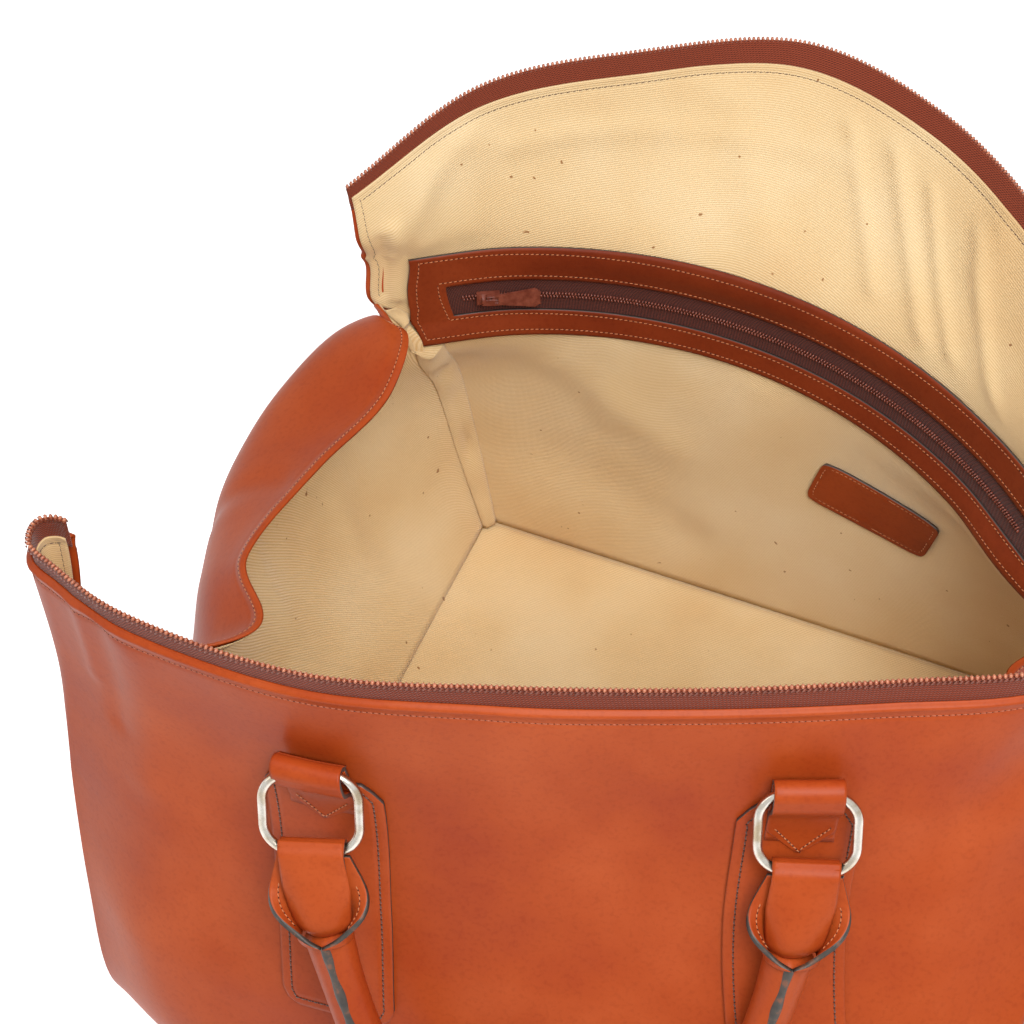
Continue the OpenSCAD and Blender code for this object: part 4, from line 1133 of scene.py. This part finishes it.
for s, side in ((0, "front"), (1, "back")):
    mid, X, Y, Z, half = handle_frame(s)
    o = mid - Z * LOW_BAR
    out = -1 if s == 0 else 1
    pieces = []
    arm = mm((5, -43, 0), (12.5, -76, 0), (21.5, -107, 0), (35, -140, 0), (57, -167, 0))
    line = np.array([(-(half - x), 0, z) for x, z, _ in arm] + [(0, 0, -DROP)]
                    + [(half - x, 0, z) for x, z, _ in arm[::-1]])

    def to_world(x, y, z):
        return o + np.outer(x, X) + np.outer(y, Y) + np.outer(z, Z)

    def on_roll(t):
        """Middle of the roll and the direction across it."""
        d = unit(along(line, np.minimum(1, t + 0.002)) - along(line, np.maximum(0, t - 0.002)))
        return along(line, t), np.stack([-d[:, 2], 0 * t, d[:, 0]], 1), np.minimum(t, 1 - t)

    def roll(a, b):
        p, nx, near = on_roll(b)
        t = a * 2 * np.pi
        r = grip_r(near) * np.sqrt(np.clip(near / 0.006, 0, 1))
        face = np.cos(t - np.pi / 2 * out)
        r = r * (1 + 0.08 * np.exp(-((1 - face) / 0.02) ** 2))
        q = p + nx * (np.cos(t) * r)[:, None] + np.outer(np.sin(t) * r, [0, 1, 0])
        return to_world(q[:, 0], q[:, 1], q[:, 2]), np.stack([t * 0.0115, b * 0.4], 1)

    def ridge(a, b):
        """Painted edges of the two sides of the roll, pressed together along its outer side."""
        end = 0.006
        p, nx, near = on_roll(end + (1 - 2 * end) * b)
        across = a * 2 - 1
        wide = 0.0025 * (1 + 0.12 * np.sin(b * 90))
        lift = grip_r(near) - 0.0006 + 0.0019 * np.sqrt(np.clip(1 - across ** 2, 0, 1))
        q = p + nx * (across * wide)[:, None] + np.outer(lift * out, [0, 1, 0])
        return to_world(q[:, 0], q[:, 1], q[:, 2]), np.stack([a * 0.005, b * 0.4], 1)

    def facing(p):
        return Vector(Y * out)

    name = side + "_handle"
    body = grid_piece(side + "_grip", 48, 160, roll, [tan], closed=True, body=name)
    pieces += [grid_piece(side + "_grip_seam", 8, 220, ridge, [worn_paint], body=name, outwards=facing)]
    for q in (-1, 1):
        def cupped(s_along, z, rise=0.0):
            """Leather that lies flat at the ring and rolls up round the handle lower down."""
            wide, bent, back = tab_shape(z)
            turn = s_along * wide * bent
            safe = np.maximum(bent, 1e-3)
            x = np.where(bent > 1e-3, np.sin(turn) / safe, s_along * wide)
            y = back + np.where(bent > 1e-3, (1 - np.cos(turn)) / safe, 0) + 0.0012
            x, y = x - np.sin(turn) * rise, y + np.cos(turn) * rise
            return to_world(q * half + x + q * z * SPREAD, out * y, z)

        def layer(a, b):
            z = -0.002 - 0.043 * b
            return cupped(a * 2 - 1, z), np.stack([(a * 2 - 1) * 0.024, z], 1)

        def tongue(a, b):
            profile = mm((2, 6.6, 0), (6.2, 2, 0), (7.4, -5, 0), (8.2, -13, 0), (9.0, -23, 0), (9.4, -33, 0),
                         (8.8, -39, 0), (6.0, -43.5, 0))
            p = along(profile, b)
            w = np.interp(b, [0, 0.25, 0.5, 0.8, 0.93, 1],
                          [TONGUE_HALF, 0.0156, 0.0162, 0.0138, 0.0122, 0.0100])
            c = a * 2 - 1
            fall = np.clip(b * 1.9 - 0.35, 0, 1)
            y = p[:, 0] - 0.0052 * np.abs(c) ** 3 * fall + 0.0007 * np.cos(c * 3 + 0.6) * fall
            x = q * half + c * w + q * p[:, 1] * SPREAD
            return to_world(x, out * y, p[:, 1]), np.stack([c * w, p[:, 1]], 1)

        def loop(a, b):
            t = np.radians(-40 + 250 * b)
            x = q * half + (a * 2 - 1) * TONGUE_HALF
            return to_world(x, out * -STRAP_R * np.cos(t), STRAP_R * np.sin(t)), \
                np.stack([a * 0.034, b * 0.03], 1)

        end = "left" if q < 0 else "right"
        name_end = side + "_" + end
        ring_bar = Vector(to_world(np.array([q * half]), np.zeros(1), np.zeros(1))[0])
        pieces += [
            grid_piece(name_end + "_tab", 40, 44, layer, [tan, worn_paint], TAB_T, facing, rim=1, body=name),
            grid_piece(name_end + "_tongue", 24, 40, tongue, [tan, edge_paint], TONGUE_T, facing, rim=1,
                       body=name),
            grid_piece(name_end + "_loop", 10, 24, loop, [tan, edge_paint], TONGUE_T, lambda p: p - ring_bar,
                       rim=1, body=name)]
        for edge in (-1, 1):
            def tab_seam(t):
                z = -0.017 - 0.021 * t
                inset = edge * (1 - 0.0042 / tab_shape(z)[0])
                return cupped(inset, z, 0.0002), np.tile(Y * out, (len(t), 1))

            stitch_row(name_end + ("_outer" if edge == q else "_inner") + "_tab_stitches", tab_seam,
                       orange_yarn, body=name, pitch=0.0026)
    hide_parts(name)

# Inner pocket: a frame of dark leather sewn on the back lining round a slot, with a thinner zip
# behind it. Its slider and pull tab are brown like its teeth and keep their CAD form.
oxblood = leather("dark leather", (0.15, 0.020, 0.005), (0.19, 0.027, 0.006), (0.24, 0.038, 0.009), rough=0.5)
brown = moulded("brown zip parts", (0.15, 0.034, 0.020), (0.23, 0.060, 0.036), 0.22)
MID_V = 0.375 + (225 - 192) / 176
V_PER_M = 1 / 0.176
FRAME_U = (0.022, 0.922)
FRAME_UP = 0.031
FRAME_DOWN = 0.027
SLOT_HALF = 0.010
SLOT_U = (0.052, 0.895)
POCKET_D0 = LINING_FACE + 0.00025 + 0.0006
POCKET_D1 = POCKET_D0 + TAPE + 0.00035
TAPE_HALF = 0.014
FRAME_SIDES = np.array([0, 0.44, 0.50, 0.94, 1.0])


def frame_place(a, b):
    """Once round the slot: along the top, down the right end, back along the bottom, up the left end."""
    top, low, slot = MID_V + FRAME_UP * V_PER_M, MID_V - FRAME_DOWN * V_PER_M, SLOT_HALF * V_PER_M
    corner = frame_left(np.array([top, low]))
    v = np.interp(a, FRAME_SIDES, [top, top, low, low, top])
    left_end = frame_left(v)
    u = np.interp(a, FRAME_SIDES, [corner[0], FRAME_U[1], FRAME_U[1], corner[1], corner[0]])
    u = np.where(a > FRAME_SIDES[3], left_end, u)
    near_u = np.interp(a, FRAME_SIDES, [SLOT_U[0], SLOT_U[1], SLOT_U[1], SLOT_U[0], SLOT_U[0]])
    near_v = MID_V + np.interp(a, FRAME_SIDES, [slot, slot, -slot, -slot, slot])
    u = u + (near_u - u) * b
    v = v + (near_v - v) * b
    flat = np.stack([look(TABLE[1][0], u, v), look(TABLE[1][1], u, v)], 1)
    return soft(1, u, v, np.full(len(u), POCKET_D1 + LEATHER)), flat


def frame_seam(part, outer, inset=0.003):
    """Stitch line along one side of the frame, near its outer edge or near the slot."""
    du = inset / (2.3 * 0.215)
    dv = inset * V_PER_M
    if outer:
        high, low = MID_V + FRAME_UP * V_PER_M - dv, MID_V - FRAME_DOWN * V_PER_M + dv
    else:
        high, low = MID_V + SLOT_HALF * V_PER_M + dv, MID_V - SLOT_HALF * V_PER_M - dv

    def place(t):
        if part in ("top", "bottom"):
            v = np.full(len(t), high if part == "top" else low)
        else:
            v = low + (high - low) * t
        left = frame_left(v) + du if outer else np.full(len(t), SLOT_U[0] - du)
        right = FRAME_U[1] - du if outer else SLOT_U[1] + du
        if part in ("top", "bottom"):
            u = left + (right - left) * t
        else:
            u = left if part == "left" else right + 0 * t
        return soft(1, u, v, np.full(len(t), POCKET_D1 + LEATHER + 0.00008)), inward(1, u, v)
    return place


for part in ("top", "bottom", "left", "right"):
    for outer in (0, 1):
        stitch_row("pocket_" + part + ("_outer" if outer else "_inner") + "_stitches",
                   frame_seam(part, outer), orange_yarn, fine=0.95)

pocket_frame = grid_piece("pocket_frame_leather", 300, 14, frame_place, [oxblood, edge_paint], LEATHER,
                          into_bag(1), rim=1, closed=True)
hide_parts("pocket_frame")


def pocket_tape_place(a, b):
    """The tape lies flat behind the slot and runs on past both its ends."""
    u = SLOT_U[0] - 0.012 + (SLOT_U[1] - SLOT_U[0] + 0.024) * a
    v = MID_V + (b * 2 - 1) * TAPE_HALF * V_PER_M
    flat = np.stack([look(TABLE[1][0], u, v), look(TABLE[1][1], u, v)], 1)
    return soft(1, u, v, np.full(len(u), POCKET_D0 + TAPE)), flat


dark_tape = woven_tape("pocket tape", (0.035, 0.007, 0.004), (0.10, 0.020, 0.011))
pocket_tape = grid_piece("pocket_tape", 140, 8, pocket_tape_place, [dark_tape], TAPE, into_bag(1))
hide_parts("pocket_zip_tape")

turn_a = np.radians(-36.3 + 11.9 * 8 * (SLOT_U[0] + 0.006))
turn_b = np.radians(-36.3 + 11.9 * 8 * 0.86)
POCKET_PITCH = 0.0018


def pocket_line(t):
    """Middle of the pocket zip, an arc round the axis that its slider turns about."""
    a = turn_a + (turn_b - turn_a) * t
    tilt = np.arctan(POCKET_LEAN)
    out = np.stack([np.sin(a) * np.cos(tilt), np.cos(a) * np.cos(tilt), np.full(len(a), -np.sin(tilt))], 1)
    x, y = POCKET[0] + POCKET_R * np.sin(a), POCKET[1] + POCKET_R * np.cos(a)
    base = np.stack([x, y, np.full(len(a), POCKET[2])], 1)
    return base - out * (POCKET_D1 + 0.0012)


small = bead_form([((0, 0, 0.0011), (0.0006, 0.0011, 0.0010), 0.2, 0),
                   ((0.0008, 0, -0.0011), (0.0006, 0.0011, 0.0010), -0.2, 0)])
u, p, d = even_places(pocket_line, POCKET_PITCH)
up = unit(np.array([0, 0, 1.0]) - d * d[:, 2:3])
pocket_coil = repeat("pocket_coil", small, p, d, unit(np.cross(up, d)), up, [brown])
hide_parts("pocket_zip_teeth")
for name in ("pocket_zip_slider", "pocket_zip_puller"):
    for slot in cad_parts[name].material_slots:
        slot.material = brown

# Label: a small patch of reddish brown leather with rounded corners, sewn on the back lining by
# a stitch line round its edge.
label_leather = leather("label leather", (0.21, 0.030, 0.006), (0.27, 0.042, 0.008), (0.33, 0.058, 0.012),
                        rough=0.5)
LABEL_AT = (0.645, 0.22)
LABEL_HALF = (0.041, 0.0205)
LABEL_TURN = np.radians(-7.5)
LABEL_SEAM = 0.003
LABEL_D = LINING_FACE + 0.0006 + LEATHER


def label_skin(x, y, depth):
    """Place beside the label's middle, turned with it, and the way into the bag there."""
    u = LABEL_AT[0] + (x * np.cos(LABEL_TURN) - y * np.sin(LABEL_TURN)) / (2.13 * 0.215)
    v = LABEL_AT[1] + (x * np.sin(LABEL_TURN) + y * np.cos(LABEL_TURN)) / 0.6
    return soft(1, u, v, np.full(len(u), depth)), inward(1, u, v)


def label_place(a, b):
    """The patch is drawn in a little along its stitch line."""
    x, y = a * 2 - 1, b * 2 - 1
    x, y = x * np.sqrt(1 - 0.10 * y ** 8), y * np.sqrt(1 - 0.22 * x ** 8)
    x, y = x * LABEL_HALF[0], y * LABEL_HALF[1]
    inside = np.minimum(LABEL_HALF[0] - np.abs(x), LABEL_HALF[1] - np.abs(y))
    depth = LABEL_D + 0.0003 * (1 - np.exp(-(inside / 0.002) ** 2)) \
        - 0.0003 * np.exp(-((inside - LABEL_SEAM) / 0.0008) ** 2)
    p, out = label_skin(x, y, 0.0)
    return p + out * depth[:, None], np.stack([x, y], 1)


def label_seam(t):
    """Once round the label, a little inside its edge."""
    turn = t * 2 * np.pi
    c, s = np.cos(turn), np.sin(turn)
    x = np.sign(c) * np.abs(c) ** 0.25 * (LABEL_HALF[0] - LABEL_SEAM)
    y = np.sign(s) * np.abs(s) ** 0.25 * (LABEL_HALF[1] - LABEL_SEAM)
    return label_skin(x, y, LABEL_D + 0.00005)


label = grid_piece("label", 70, 36, label_place, [label_leather, edge_paint], LEATHER, into_bag(1), rim=1)
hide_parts("label_patch")
stitch_row("label_stitches", label_seam, orange_yarn, fine=0.9)
